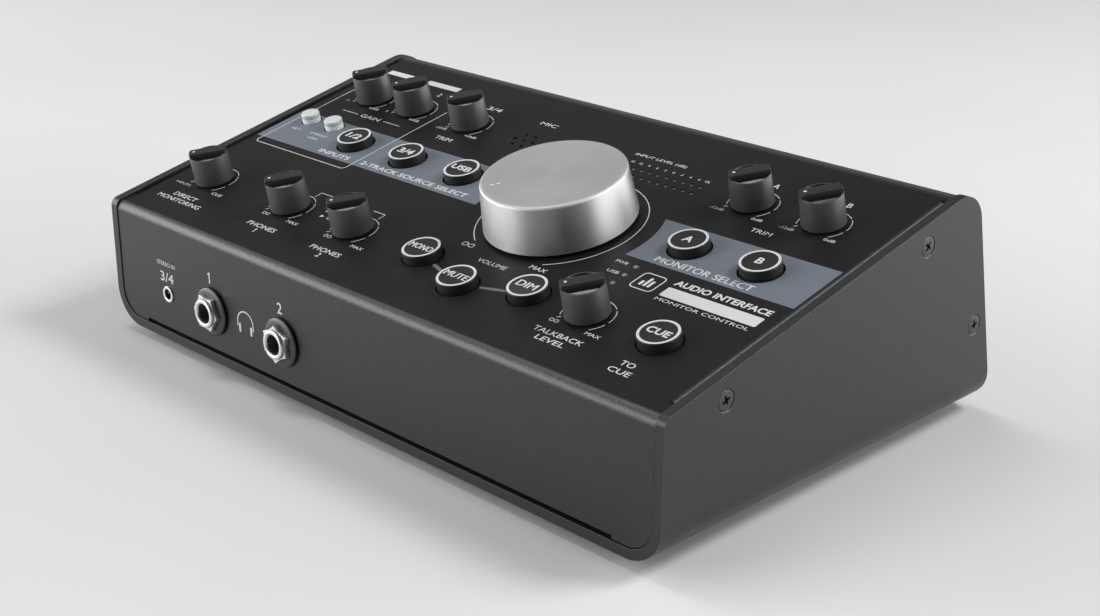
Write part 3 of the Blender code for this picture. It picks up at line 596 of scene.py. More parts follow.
# Painted shade: the grip bar is the same plastic as the knob body, given a darker, less shiny copy so that its top
# reads dark.
M_KNOB_BAR_SHADED = moulded("knob_bar_plastic_painted_shade", 0.024, 0.48, spec=0.22)
M_CAP = moulded("button_satin_plastic", 0.012, 0.42, spec=0.3)
M_SOCKET = moulded("socket_plastic_black", 0.018, 0.42)
M_COLLAR = moulded("collar_plastic", 0.040, 0.38)
M_BORE = moulded("socket_bore_plastic", 0.060, 0.5, (1.2, 0.94, 0.86), grain=0.01)
M_RUBBER = moulded("foot_rubber_black", 0.02, 0.75, grain=0.02)
M_ALU = spun_metal("knob_spun_aluminium", 0.50, 0.46, groove=0.004, aniso=0.66)
M_ALU_TOP = spun_metal("knob_faced_aluminium", 0.56, 0.50, groove=0.003, aniso=0.15)
M_ALU_CHAMFER = spun_metal("knob_cut_chamfer", 0.60, 0.56, groove=0.002, aniso=0.1)
M_NICKEL = plated("nickel_plate", 0.74, 0.36)
M_STEEL = plated("shaft_steel", 0.60, 0.28)
M_SCREW = plated("blackened_steel", 0.085, 0.34, (1, 1, 1))
M_BRASS = plated("contact_metal", 0.55, 0.3, (1.0, 0.80, 0.55))
M_LENS = moulded("led_lens_clear", 0.15, 0.25, (0.86, 1.0, 0.95), grain=0.001, coat=0.4)


def milky(name, level=1.0):
    m = Mat(name, 0.3, 0.0, 0.5, 0.25)
    cloud = m.noise(300.0, 3.0, 0.6)
    fine = m.noise(3000.0, 2.0, 0.5)
    m.colour(m.ramp(cloud, [(0.2, (0.66 * level, 0.72 * level, 0.71 * level)), (0.8, (0.78 * level, 0.84 * level, 0.83 * level))]))
    m.roughness(m.spread(cloud, 0.26, 0.38))
    m.b.inputs["Subsurface Weight"].default_value = 0.55
    m.b.inputs["Subsurface Radius"].default_value = (1.0, 1.0, 1.0)
    m.b.inputs["Subsurface Scale"].default_value = 0.0012
    m.bump((fine, 0.002))
    return m.m


def solder_mask(name):
    m = Mat(name, 0.35, 0.0, 0.5, 0.3)
    big = m.noise(420.0, 1.0, 0.4)
    fine = m.noise(2400.0, 2.0, 0.5)
    m.colour(m.ramp(big, [(0.45, (0.010, 0.060, 0.028)), (0.52, (0.020, 0.105, 0.048))]))
    m.roughness(m.spread(big, 0.3, 0.42))
    m.bump((big, 0.02), (fine, 0.004))
    return m.m


M_MILKY = milky("tally_milky_plastic", 1.05)
# The upper part of the tally caps uses the same milky plastic at 0.80 of the brightness, so the caps are darker on top
# than below.
M_MILKY_UPPER_DARKER = milky("tally_milky_plastic_darker_top", 0.80)
M_BOARD = solder_mask("circuit_board_green")

for key, ob in frame["nodes"].items():
    mats = {"control_board": M_BOARD, "io_board": M_BOARD}
    ob.data.materials.clear()
    ob.data.materials.append(mats.get(key, M_STEEL if "shaft" in key else M_SOCKET))

# ---------------------------------------------------------------- base chassis
half = CASE_W / 2
cx = half - BEND_R
u_outline = ([(-half, 90.0)] + arc_points(-cx, BEND_R, BEND_R, 180, 270, 20) + arc_points(cx, BEND_R, BEND_R, 270, 360, 20) + [(half, 90.0), (half - SHEET_T, 90.0)]
             + arc_points(cx, BEND_R, BEND_R - SHEET_T, 360, 270, 20) + arc_points(-cx, BEND_R, BEND_R - SHEET_T, 270, 180, 20) + [(-half + SHEET_T, 90.0)])
chassis = put("chassis", mesh_from(lambda bm: add_extrusion_y(bm, u_outline, 0.0, 160.0), "chassis"), [M_CASE, M_EDGE], DEV, sharp=None)
wall = wedge_path(0.0, 0.0, 0.0, 2.8, 10.0, -5.0)


def trim_prism(bm):
    top_front = [p for p in wall[1:-1]]
    pts = [(-2.0, -5.0), (-2.0, top_front[0][1] - 0.02), (0.0, top_front[0][1] - 0.02)] + top_front + [wall[-1]]
    add_extrusion_x(bm, pts, -half - 5, half + 5)


boolean(chassis, mesh_from(trim_prism, "trim"), "INTERSECT")


def screw_sinks(bm):
    for sign in (-1, 1):
        for y, z in SCREWS.values():
            add_lathe(bm, [(0, -SHEET_T - 1), (1.7, -SHEET_T - 1), (1.7, -1.5), (3.2, 0.0), (3.2, 1.0), (0, 1.0)], 40, DEV_INV @ side_matrix(sign, y, z))


boolean(chassis, mesh_from(screw_sinks, "screw_sinks"), "DIFFERENCE")
clean(chassis)
# The rounded edges take M_EDGE, the lighter paint that is partly wear and partly a painted highlight.
edge_round(chassis, 0.5, 3, 38, 1)
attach(chassis, "case")
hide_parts("base_chassis")

# ---------------------------------------------------------------- top shell
outer = wedge_path(FRONT_INSET, PANEL_DROP, REAR_INSET, 3.2, 9.6, 3.0, 12)
inner = wedge_path(FRONT_INSET + SHELL_T, PANEL_DROP + SHELL_T, REAR_INSET + SHELL_T, 3.2 - SHELL_T, 9.6 - SHELL_T, 3.0, 12)
shell = put("shell", mesh_from(lambda bm: add_extrusion_x(bm, outer + list(reversed(inner)), -SHELL_HALF_W, SHELL_HALF_W), "shell"), [M_PANEL, M_PRINT], DEV, sharp=None)
PANEL_LOCAL = DEV_INV @ panel_matrix()
REAR_LOCAL = DEV_INV @ rear_matrix()
S0, S1, RELIEF = 8.0, 121.4, 0.8


def flange_gap(bm):
    for sign in (-1, 1):
        xs = sorted((sign * (SHELL_HALF_W - 1.7), sign * (SHELL_HALF_W + 1.0)))
        add_prism(bm, rect(xs[0], S0 - RELIEF, xs[1], S1 + RELIEF), -4.0, 2.0, PANEL_LOCAL)


boolean(shell, mesh_from(flange_gap, "flange_gap"), "DIFFERENCE")


def side_flanges(bm):
    r = 1.9
    for sign in (-1, 1):
        prof = [(SHELL_HALF_W - 3.2, -0.02)] + arc_points(SHELL_HALF_W - r, -r - 0.02, r, 90, 0, 12) + [
            (SHELL_HALF_W, -FLANGE_DEPTH), (SHELL_HALF_W - SHELL_T, -FLANGE_DEPTH), (SHELL_HALF_W - SHELL_T, -SHELL_T + 0.02), (SHELL_HALF_W - 3.2, -SHELL_T + 0.02)]
        a = [bm.verts.new(PANEL_LOCAL @ Vector((sign * p[0] * MM, S0 * MM, p[1] * MM))) for p in prof]
        b = [bm.verts.new(PANEL_LOCAL @ Vector((sign * p[0] * MM, S1 * MM, p[1] * MM))) for p in prof]
        bm.faces.new(a)
        bm.faces.new(list(reversed(b)))
        for i in range(len(prof)):
            j = (i + 1) % len(prof)
            bm.faces.new([a[i], b[i], b[j], a[j]])


boolean(shell, mesh_from(side_flanges, "side_flanges"), "UNION")


def rear_flanges(bm):
    for sign in (-1, 1):
        xs = sorted((sign * (SHELL_HALF_W - SHELL_T - 0.1), sign * (SHELL_HALF_W - 0.1)))
        add_prism(bm, rect(-xs[1], 14.0, -xs[0], 52.0), -FLANGE_DEPTH, -0.5, REAR_LOCAL)


boolean(shell, mesh_from(rear_flanges, "rear_flanges"), "UNION")
gap = 0.3
ri = BEND_R - SHEET_T - gap
low = SHEET_T + gap
edge = ([(-half + SHEET_T - gap + 0.05, 95.0)] + arc_points(-cx - 0.05, BEND_R, ri, 180, 270, 16) + [(-103.4, low), (-103.4, low + 1.0), (103.4, low + 1.0), (103.4, low)]
        + arc_points(cx + 0.05, BEND_R, ri, 270, 360, 16) + [(half - SHEET_T - gap + 0.05, 95.0)])
boolean(shell, mesh_from(lambda bm: add_extrusion_y(bm, edge, -5.0, 170.0), "edge"), "INTERSECT")


def panel_holes(bm):
    def hole(pos, r, seg):
        add_prism(bm, circle(r, seg, pos[0], pos[1]), -3.5, 1.5, PANEL_LOCAL)
    for pos in SMALL_KNOBS.values():
        hole(pos, 3.8, 24)
    hole(BIG_KNOB, 4.2, 24)
    for x, s, _ in BLACK_BUTTONS.values():
        hole((x, s), WELL_R, 56)
    for pos in TALLY_BUTTONS.values():
        hole(pos, TALLY_HOLE_R, 36)
    for pos in STATUS_LEDS:
        hole(pos, 1.0, 20)
    for row in METER_ROWS:
        for i in range(METER_N):
            hole((METER_X0 + (i - (METER_N - 1) / 2) * METER_PITCH, row), 0.85, 14)
    hole(MIC_CENTRE, 0.85, 14)
    for i in range(6):
        a = math.radians(60 * i)
        hole((MIC_CENTRE[0] + MIC_PITCH * math.cos(a), MIC_CENTRE[1] + MIC_PITCH * math.sin(a)), 0.85, 14)
    for x, z in PHONES_JACKS.values():
        add_prism(bm, circle(4.8, 28), -4.0, 1.0, DEV_INV @ front_matrix(x, z))
    add_prism(bm, circle(2.72, 40), -4.0, 1.0, DEV_INV @ front_matrix(*MINI_JACK))
    for x in COMBO_X.values():
        add_prism(bm, circle(12.0, 48), -4.0, 1.5, DEV_INV @ rear_matrix(x, COMBO_W))
    for x in STACK_X.values():
        for w in STACK_W:
            add_prism(bm, circle(4.8, 28), -4.0, 1.5, DEV_INV @ rear_matrix(x, w))
    add_prism(bm, rect(-6.4, -5.9, 6.4, 5.9), -4.0, 1.5, DEV_INV @ rear_matrix(*USB_POS))
    add_prism(bm, circle(4.6, 32), -4.0, 1.5, DEV_INV @ rear_matrix(*DC_POS))
    add_prism(bm, circle(4.4, 32), -4.0, 1.5, DEV_INV @ rear_matrix(*POWER_POS))


boolean(shell, mesh_from(panel_holes, "panel_holes"), "DIFFERENCE")
clean(shell)


def part_overprint(ob):
    """The control surface starts a little behind the front bend; it gets the overprint finish."""
    n = Vector((0, -math.sin(SLOPE), math.cos(SLOPE)))
    t = Vector((0, math.cos(SLOPE), math.sin(SLOPE)))
    o = Vector((0, 0, FRONT_H * MM))
    bm = bmesh.new()
    bm.from_mesh(ob.data)
    top = [f for f in bm.faces if f.normal.dot(n) > 0.999 and (f.calc_center_median() - o).dot(n) > -0.7 * MM]
    geom = list(top) + list({e for f in top for e in f.edges}) + list({v for f in top for v in f.verts})
    bmesh.ops.bisect_plane(bm, geom=geom, dist=1e-7, plane_co=o + t * 2.6 * MM, plane_no=t)
    for f in bm.faces:
        c = f.calc_center_median() - o
        f.material_index = 1 if f.normal.dot(n) > 0.999 and c.dot(n) > -0.7 * MM and c.dot(t) > 2.6 * MM else 0
    bm.to_mesh(ob.data)
    bm.free()


part_overprint(shell)
edge_round(shell, 0.16, 2, 40)
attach(shell, "case")
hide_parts("top_shell")

# ---------------------------------------------------------------- small knobs
PTR = math.radians(90 + 140)
K_BASE, K_TOP, K_RIM, K_POCKET, FIN_HALF, FIN_TOP = 6.37, 6.12, 9.6, 8.25, 2.2, 11.0


def fin_outline(r, w, n=10):
    h = math.degrees(math.asin(w / r))
    pts = arc_points(0, 0, r, -h, h, n) + arc_points(0, 0, r, 180 - h, 180 + h, n)
    c, k = math.cos(PTR), math.sin(PTR)
    return [(x * c - y * k, x * k + y * c) for x, y in pts]


def small_knob(bm):
    prof = [(0, 7.0), (3.12, 7.0), (3.12, 0.7), (K_BASE - 0.25, 0.42), (K_BASE, 0.62), (K_TOP, K_RIM - 0.3), (K_TOP - 0.08, K_RIM - 0.1), (K_TOP - 0.28, K_RIM), (K_TOP - 0.46, K_RIM - 0.02),
            (K_TOP - 0.58, K_RIM - 0.16), (K_TOP - 0.62, K_RIM - 0.5), (K_TOP - 0.68, 7.5), (0, 7.35)]
    add_lathe(bm, prof, 64, mats=[0] * 9 + [1] * 3)
    # the bar stands on glossy ramps that fall away to both sides inside the rim
    R = K_TOP - 0.03
    r_in = K_TOP - 0.64
    add_layers(bm, [(fin_outline(r_in, FIN_HALF + 3.2), 7.3), (fin_outline(r_in, FIN_HALF + 3.1), 7.42), (fin_outline(r_in, FIN_HALF + 2.2), 7.86), (fin_outline(r_in, FIN_HALF + 1.2), 8.34), (fin_outline(r_in, FIN_HALF + 0.45), 8.70), (fin_outline(r_in, FIN_HALF - 0.3), 9.0)], mat=1)
    # the bar itself takes the darker copy of the knob plastic, which paints shade on it
    add_layers(bm, [(fin_outline(r_in, FIN_HALF + 0.16), 8.2), (fin_outline(r_in, FIN_HALF + 0.10), 9.2), (fin_outline(R - 0.06, FIN_HALF + 0.06), 9.45), (fin_outline(R - 0.01, FIN_HALF), 10.35),
                    (fin_outline(R - 0.04, FIN_HALF - 0.06), 10.62), (fin_outline(R - 0.14, FIN_HALF - 0.20), 10.83), (fin_outline(R - 0.34, FIN_HALF - 0.42), 10.95), (fin_outline(R - 0.7, FIN_HALF - 0.8), FIN_TOP - 0.015)], mat=2)
    px, py = 4.35 * math.cos(PTR), 4.35 * math.sin(PTR)
    add_layers(bm, [(circle(0.46, 20, px, py), FIN_TOP - 0.12), (circle(0.46, 20, px, py), FIN_TOP - 0.005), (circle(0.40, 20, px, py), FIN_TOP)], mat=3)


for key, (x, s) in SMALL_KNOBS.items():
    put(key + "_cap", mesh_from(small_knob, key + "_cap"), [M_KNOB, M_KNOB_TOP, M_KNOB_BAR_SHADED, M_INK], panel_matrix(x, s), body_of(key), [key], sharp=24)

# ---------------------------------------------------------------- volume knob
VPTR = math.radians(90 + 141.5)


def volume(bm):
    prof = [(0, 11.0), (19.6, 11.5), (21.4, 1.2), (21.7, 1.0), (22.75, 1.0), (22.9, 1.15), (21.62, 14.70), (21.54, 14.96), (21.30, 15.22), (21.0, 15.37), (20.7, 15.44), (20.2, 15.45),
            (19.8, 15.43), (14.0, 15.40), (7.0, 15.38), (2.0, 15.37), (0, 15.37)]
    mats = [0] * (len(prof) - 1)
    k = next(i for i, p in enumerate(prof) if p == (21.62, 14.70))
    for i in range(k, k + 4):
        mats[i] = 1
    for i in range(k + 4, len(mats)):
        mats[i] = 3
    add_lathe(bm, prof, 160, mats=mats)
    add_lathe(bm, [(3.12, 1.9), (7.0, 1.9), (7.0, 11.2), (3.12, 11.2)], 40)
    for r in (17.7, 16.0):
        px, py = r * math.cos(VPTR), r * math.sin(VPTR)
        add_layers(bm, [(circle(0.52, 20, px, py), 15.3), (circle(0.52, 20, px, py), 15.45), (circle(0.44, 20, px, py), 15.47)], mat=2)


put("volume_knob_cap", mesh_from(volume, "volume_knob_cap"), [M_ALU, M_ALU_CHAMFER, M_INK, M_ALU_TOP], panel_matrix(*BIG_KNOB), body_of("volume_knob"), ["volume_knob"], sharp=24)


# ---------------------------------------------------------------- lettering and printed shapes
def text_mesh(body, size, bold=0.0, spacing=1.0, shear=0.0):
    cu = bpy.data.curves.new("legend", "FONT")
    cu.body = body
    cu.size = size
    cu.align_x = "CENTER"
    cu.align_y = "CENTER"
    cu.offset = bold
    cu.space_character = spacing
    cu.shear = shear
    cu.resolution_u = 3
    cu.extrude = 0.01
    ob = bpy.data.objects.new("legend", cu)
    bpy.context.scene.collection.objects.link(ob)
    bpy.context.view_layer.update()
    me = bpy.data.meshes.new_from_object(ob.evaluated_get(bpy.context.evaluated_depsgraph_get()))
    bpy.data.objects.remove(ob, do_unlink=True)
    bpy.data.curves.remove(cu)
    bm = bmesh.new()
    bm.from_mesh(me)
    bmesh.ops.remove_doubles(bm, verts=bm.verts[:], dist=1e-4)
    bm.to_mesh(me)
    bm.free()
    return me


def add_text(bm, body, cap, x, y, m, width=None, bold=0.0, mat=0, lift=0.012, turn=0.0, shear=0.0):
    """Lettering with the given capital height (mm), centred at x, y of the frame m.
    A width in mm sets how far the whole line runs."""
    size = cap / 0.70
    if bold > 0 and "M" in body:
        d = bold * size * 0.8
        add_text(bm, body, cap, x - d, y, m, width, 0.0, mat, lift, turn, shear)
        add_text(bm, body, cap, x + d, y, m, width, 0.0, mat, lift + 0.001, turn, shear)
        return
    me = text_mesh(body, size, bold * size, 1.0, shear)
    xs = [v.co.x for v in me.vertices]
    ys = [v.co.y for v in me.vertices]
    if not xs:
        return
    w, h = max(xs) - min(xs), max(ys) - min(ys)
    kx = width / w if width else 1.0
    ky = cap / h if not any(c in body for c in "()/|,gjpqy") else 1.0
    cxm, cym = (max(xs) + min(xs)) / 2, (max(ys) + min(ys)) / 2
    rot = Matrix.Rotation(turn, 4, "Z")
    start = len(bm.verts)
    base = len(bm.faces)
    bm.from_mesh(me)
    bm.verts.ensure_lookup_table()
    bm.faces.ensure_lookup_table()
    for v in bm.verts[start:]:
        p = rot @ Vector(((v.co.x - cxm) * kx, (v.co.y - cym) * ky, 0))
        z = lift + (0.012 if v.co.z > 0 else -0.010)
        v.co = m @ Vector(((x + p.x) * MM, (y + p.y) * MM, z * MM))
    for f in bm.faces[base:]:
        f.material_index = mat
    bpy.data.meshes.remove(me)


def add_one(bm, cap, x, y, m, width=0.15, mat=0):
    """The figure one, drawn with its flag."""
    h = cap / 2
    w = cap * width / 2
    pts = [(w, -h), (w, h), (-w * 0.5, h), (-cap * 0.24, h - cap * 0.17), (-cap * 0.24, h - cap * 0.31), (-w, h - cap * 0.18), (-w, -h)]
    add_prism(bm, [(x + p[0], y + p[1]) for p in pts][::-1], 0.002, 0.024, m, mat)


def add_ribbon(bm, pts, width, m, mat=0, z0=0.002, z1=0.024):
    """Flat stroke of constant width along an open polyline, mitred at its corners."""
    left, right = [], []
    n = len(pts)
    for i, p in enumerate(pts):
        p = Vector(p)
        d0 = (p - Vector(pts[i - 1])).normalized() if i > 0 else None
        d1 = (Vector(pts[i + 1]) - p).normalized() if i < n - 1 else None
        d0 = d0 or d1
        d1 = d1 or d0
        t = (d0 + d1).normalized()
        nrm = Vector((-t.y, t.x))
        k = max(0.4, abs(nrm.dot(Vector((-d0.y, d0.x)))))
        left.append(p + nrm * width / 2 / k)
        right.append(p - nrm * width / 2 / k)
    loop = right + list(reversed(left))
    rings = [[bm.verts.new(m @ Vector((p.x * MM, p.y * MM, z * MM))) for p in loop] for z in (z0, z1)]
    total = len(loop)
    faces = []
    for i in range(n - 1):
        a, b, c, d = i, i + 1, total - 2 - i, total - 1 - i
        faces.append(bm.faces.new([rings[1][a], rings[1][b], rings[1][c], rings[1][d]]))
        faces.append(bm.faces.new([rings[0][d], rings[0][c], rings[0][b], rings[0][a]]))
    for i in range(total):
        j = (i + 1) % total
        faces.append(bm.faces.new([rings[0][i], rings[0][j], rings[1][j], rings[1][i]]))
    for f in faces:
        f.material_index = mat


def clock(cx0, cy0, r, a0, a1, n=40):
    """Points of an arc, angles in degrees clockwise from the rear."""
    return [(cx0 + r * math.sin(math.radians(a0 + (a1 - a0) * i / n)), cy0 + r * math.cos(math.radians(a0 + (a1 - a0) * i / n))) for i in range(n + 1)]


def flat_shape(outline, holes, z0=0.002, z1=0.014):
    """Filled outline with round holes, as a thin closed plate (object in the panel frame)."""
    cu = bpy.data.curves.new("shape", "CURVE")
    cu.dimensions = "2D"
    cu.fill_mode = "BOTH"
    cu.extrude = (z1 - z0) / 2
    for loop in [outline] + [circle(r, 48, hx, hy) for hx, hy, r in holes]:
        sp = cu.splines.new("POLY")
        sp.points.add(len(loop) - 1)
        for p, q in zip(sp.points, loop):
            p.co = (q[0], q[1], 0, 1)
        sp.use_cyclic_u = True
    ob = bpy.data.objects.new("shape", cu)
    bpy.context.scene.collection.objects.link(ob)
    bpy.context.view_layer.update()
    me = bpy.data.meshes.new_from_object(ob.evaluated_get(bpy.context.evaluated_depsgraph_get()))
    bpy.data.objects.remove(ob, do_unlink=True)
    bpy.data.curves.remove(cu)
    for v in me.vertices:
        v.co = Vector((v.co.x * MM, v.co.y * MM, (v.co.z + (z0 + z1) / 2) * MM))
    bm = bmesh.new()
    bm.from_mesh(me)
    bmesh.ops.remove_doubles(bm, verts=bm.verts[:], dist=1e-7)
    bmesh.ops.recalc_face_normals(bm, faces=bm.faces[:])
    bm.to_mesh(me)
    bm.free()
    return me


PM = panel_matrix()
VX, VS = BIG_KNOB
wells = [(x, s, WELL_R + 0.16) for x, s, _ in BLACK_BUTTONS.values()] + [(x, s, TALLY_HOLE_R + 0.16) for x, s in TALLY_BUTTONS.values()]


def side_of_volume(r, s, sign):
    return VX + sign * math.sqrt(r * r - (s - VS) ** 2)


right_band = [(side_of_volume(31.1, 56.1 + 21.0 * i / 24, 1), 56.1 + 21.0 * i / 24) for i in range(25)] + [(114.6, 77.1), (114.6, 56.1)]
left_band = [(side_of_volume(31.5, 77.0 - 20.5 * i / 24, -1), 77.0 - 20.5 * i / 24) for i in range(25)] + [(-114.9, 56.5), (-114.9, 77.0)]
put("printed_band_right", flat_shape(right_band, [w for w in wells if 56 < w[1] < 77 and w[0] > 50]), M_BAND, PM, "case", sharp=None)
put("printed_band_left", flat_shape(left_band, [w for w in wells if 56 < w[1] < 77 and w[0] < 0]), M_BAND, PM, "case", sharp=None)


def dial_arc(bm, x, s, tick=-127, breaks=((-118, 40), (48, 92), (102, 135)), width=0.26, r=7.75):
    a = math.radians(tick)
    add_ribbon(bm, [(x + 7.1 * math.sin(a), s + 7.1 * math.cos(a)), (x + 8.4 * math.sin(a), s + 8.4 * math.cos(a))], 0.34, PM)
    for a0, a1 in breaks:
        add_ribbon(bm, clock(x, s, r, a0, a1, 24), width, PM)


def legends(bm):
    T = lambda body, cap, x, s, **kw: add_text(bm, body, cap, x, s, PM, **kw)
    # scales around the knobs
    for key, (x, s) in SMALL_KNOBS.items():
        dial_arc(bm, x, s)
    add_ribbon(bm, clock(VX, VS, 25.7, -146, 148, 120), 0.30, PM)
    # front row
    T("DIRECT", 2.0, -98.0, 14.4, width=11.8, bold=0.006)
    T("MONITORING", 2.0, -97.6, 11.4, width=22.5, bold=0.006)
    T("INPUTS", 1.15, -107.3, 20.1, width=7.6)
    T("CUE", 1.35, -89.2, 20.4, width=5.0)
    for px, num in ((-56.7, "1"), (-25.4, "2")):
        T("PHONES", 2.0, px, 14.0, width=13.6, bold=0.006)
        if num == "1":
            add_one(bm, 2.1, px, 11.3, PM)
        else:
            T(num, 2.1, px, 11.3, bold=0.006)
    for x, s in ((-62.8, 20.4), (-32.2, 20.4), (63.2, 20.4)):
        loop_sign(bm, x, s, 1.35, 0.26)
    for x, s in ((-49.5, 20.4), (-18.1, 20.0), (77.6, 20.0)):
        T("MAX", 1.35, x, s, width=5.2)
    T("CUE", 1.35, -39.6, 28.0, width=4.6)
    add_prism(bm, [(-44.9, 27.3), (-43.3, 28.0), (-44.9, 28.7)][::-1], 0.002, 0.024, PM)
    add_prism(bm, [(-45.9, 30.6), (-44.9, 30.6), (-45.4, 31.8)], 0.002, 0.024, PM)
    add_ribbon(bm, [(-57.0, 35.4), (-57.0, 38.3), (-49.0, 38.3)], 0.26, PM)
    add_ribbon(bm, [(-31.6, 38.3), (-26.2, 38.3), (-26.2, 35.4)], 0.26, PM)
    T("TALKBACK", 2.0, 69.6, 15.4, width=17.6, bold=0.006)
    T("LEVEL", 2.0, 69.6, 12.3, width=10.2, bold=0.006)
    T("TO", 2.1, 95.0, 14.5, width=4.7, bold=0.006)
    T("CUE", 2.1, 95.2, 11.0, width=7.4, bold=0.006)
    # volume
    T("VOLUME", 1.75, 26.0, 33.4, width=11.4)
    loop_sign(bm, 11.2, 38.0, 2.0, 0.32)
    T("MAX", 1.75, 40.0, 37.9, width=6.2)
    # bands
    T("MONITOR SELECT", 2.7, 82.4, 58.7, width=33.8, bold=0.016)
    T("INPUTS", 2.1, -75.8, 58.9, width=15.2, bold=0.018)
    T("2-TRACK SOURCE SELECT", 2.2, -37.2, 59.2, width=50.0, bold=0.018)
    T("48 V", 1.1, -105.0, 66.0, width=4.8)
    T("STEREO", 1.1, -93.4, 66.3, width=8.4)
    T("LINK", 1.1, -93.0, 63.6, width=5.0)
    # rear row
    T("GAIN", 2.0, -86.8, 84.0, width=9.6, bold=0.004)
    add_ribbon(bm, [(-101.8, 84.0), (-93.4, 84.0)], 0.24, PM)
    add_ribbon(bm, [(-80.2, 84.0), (-71.8, 84.0)], 0.24, PM)
    T("TRIM", 1.9, -50.0, 84.3, width=7.4)
    T("TRIM", 1.9, 81.9, 84.0, width=7.2)
    add_one(bm, 2.2, -98.8, 108.0, PM)
    T("2", 2.2, -77.7, 108.0, bold=0.006)
    T("3/4", 2.2, -50.4, 108.3, width=6.6, bold=0.006)
    T("A", 2.4, 68.8, 107.6, bold=0.006)
    T("B", 2.4, 94.5, 107.8, bold=0.006)
    for x in (-97.5, -76.5):
        T("0", 1.2, x - 9.0, 90.4)
        T("60dB", 1.2, x + 6.0, 89.6, width=4.6)
    T("-20dB", 1.25, -57.0, 89.8, width=5.0)
    T("+20dB", 1.25, -42.5, 89.4, width=5.4)
    for x in (69.3, 94.3):
        T("-12dB", 1.3, x - 7.7, 89.2, width=5.0)
        T("0dB", 1.3, x + 7.0, 89.1, width=3.8)
    T("MIC", 1.9, -24.2, 107.8, width=7.4, bold=0.004)
    # level meter
    T("INPUT LEVEL (dB)", 1.35, 26.6, 104.8, width=20.5)
    marks = ["42", "36", "30", "24", "18", "15", "12", "9", "6", "3", "0", "2", "4", "6", "OL"]
    for i, t in enumerate(marks):
        T(t, 1.05, METER_X0 + (i - (METER_N - 1) / 2) * METER_PITCH, 100.5, bold=0.01)
    T("PWR", 1.3, 58.5, 52.4, width=4.4)
    T("USB", 1.3, 59.6, 47.4, width=4.2)
    # frame around the input section
    add_ribbon(bm, [(-111.6, 98.5), (-111.6, 54.6)] + clock(-110.1, 54.6, 1.5, -90, -180, 6) + clock(-65.9, 54.6, 1.5, 180, 90, 6) + [(-64.4, 99.2)], 0.3, PM)
    # plain blocks
    add_prism(bm, rect(-111.2, 112.7, -99.0, 115.4), 0.002, 0.02, PM)
    add_prism(bm, rect(-90.4, 112.4, -74.0, 115.2), 0.002, 0.02, PM)
    add_prism(bm, rounded(79.0, 44.1, 111.4, 48.6, 0.5), 0.002, 0.02, PM)
    T("AUDIO INTERFACE", 2.6, 95.2, 51.3, width=32.4, bold=0.03)
    T("MONITOR CONTROL", 1.35, 95.1, 42.5, width=31.6)
    # level bars in a plain rounded frame
    ring = rounded(68.3, 43.8, 76.0, 51.6, 1.4)
    add_ribbon(bm, ring + [ring[0], ring[1]], 0.36, PM)
    for i, h in enumerate((2.2, 4.2, 3.2)):
        add_prism(bm, rect(70.2 + i * 1.5, 45.6, 71.1 + i * 1.5, 45.6 + h), 0.002, 0.024, PM)


def rounded(x0, y0, x1, y1, r, n=5):
    return (arc_points(x1 - r, y0 + r, r, 270, 360, n) + arc_points(x1 - r, y1 - r, r, 0, 90, n) + arc_points(x0 + r, y1 - r, r, 90, 180, n) + arc_points(x0 + r, y0 + r, r, 180, 270, n))


def loop_sign(bm, x, s, h, w):
    """The lying figure of eight that marks zero level."""
    pts = []
    for i in range(33):
        t = 2 * math.pi * i / 32
        pts.append((x + 1.12 * h * math.cos(t) / (1 + math.sin(t) ** 2) * 1.0, s + 1.25 * h * math.sin(t) * math.cos(t) / (1 + math.sin(t) ** 2)))
    add_ribbon(bm, pts[:17], w, PM)
    add_ribbon(bm, pts[16:], w, PM)


put("panel_legends", mesh_from(legends, "panel_legends", recalc=False), M_INK, None, "case", sharp=None)


def mute_links(bm):
    for a, b in (((4.0, 26.7), (25.7, 20.4)), ((25.7, 20.4), (47.5, 26.6))):
        d = (Vector(b) - Vector(a)).normalized()
        add_ribbon(bm, [tuple(Vector(a) + d * 7.0), tuple(Vector(b) - d * 7.0)], 1.15, PM)


put("button_links", mesh_from(mute_links, "button_links"), M_INK_DIM, None, "case", sharp=None)


def front_legends(bm):
    # lettering on the front face reads from the front, so its X axis runs with the world's
    m = basis(world(0, FRONT_INSET, 0), Vector((0, -1, 0)), Vector((0, 0, 1)))
    flip = m if (m.to_3x3() @ Vector((1, 0, 0))).x > 0 else m @ Matrix.Rotation(math.pi, 4, "Y")
    add_text(bm, "STEREO IN", 1.35, -90.7, 25.8, flip, width=9.8)
    add_text(bm, "3/4", 3.2, -90.6, 21.4, flip, width=7.2, bold=0.004)
    add_one(bm, 3.6, -66.7, 27.5, flip)
    add_text(bm, "2", 3.5, -31.1, 27.4, flip, bold=0.01)
    # headphone sign
    hx, hz = -48.9, 17.4
    add_ribbon(bm, [(hx - 3.9, hz - 1.6)] + [(hx - 3.9 * math.cos(math.pi * i / 20), hz + 0.2 + 3.6 * math.sin(math.pi * i / 20)) for i in range(21)] + [(hx + 3.9, hz - 1.6)], 0.42, flip)
    for sgn in (-1, 1):
        add_prism(bm, rounded(hx + sgn * 2.85 - 0.45, hz - 3.3, hx + sgn * 2.85 + 0.45, hz - 0.4, 0.3, 3), 0.002, 0.024, flip)


put("front_legends", mesh_from(front_legends, "front_legends", recalc=False), M_INK, None, "case", sharp=None)


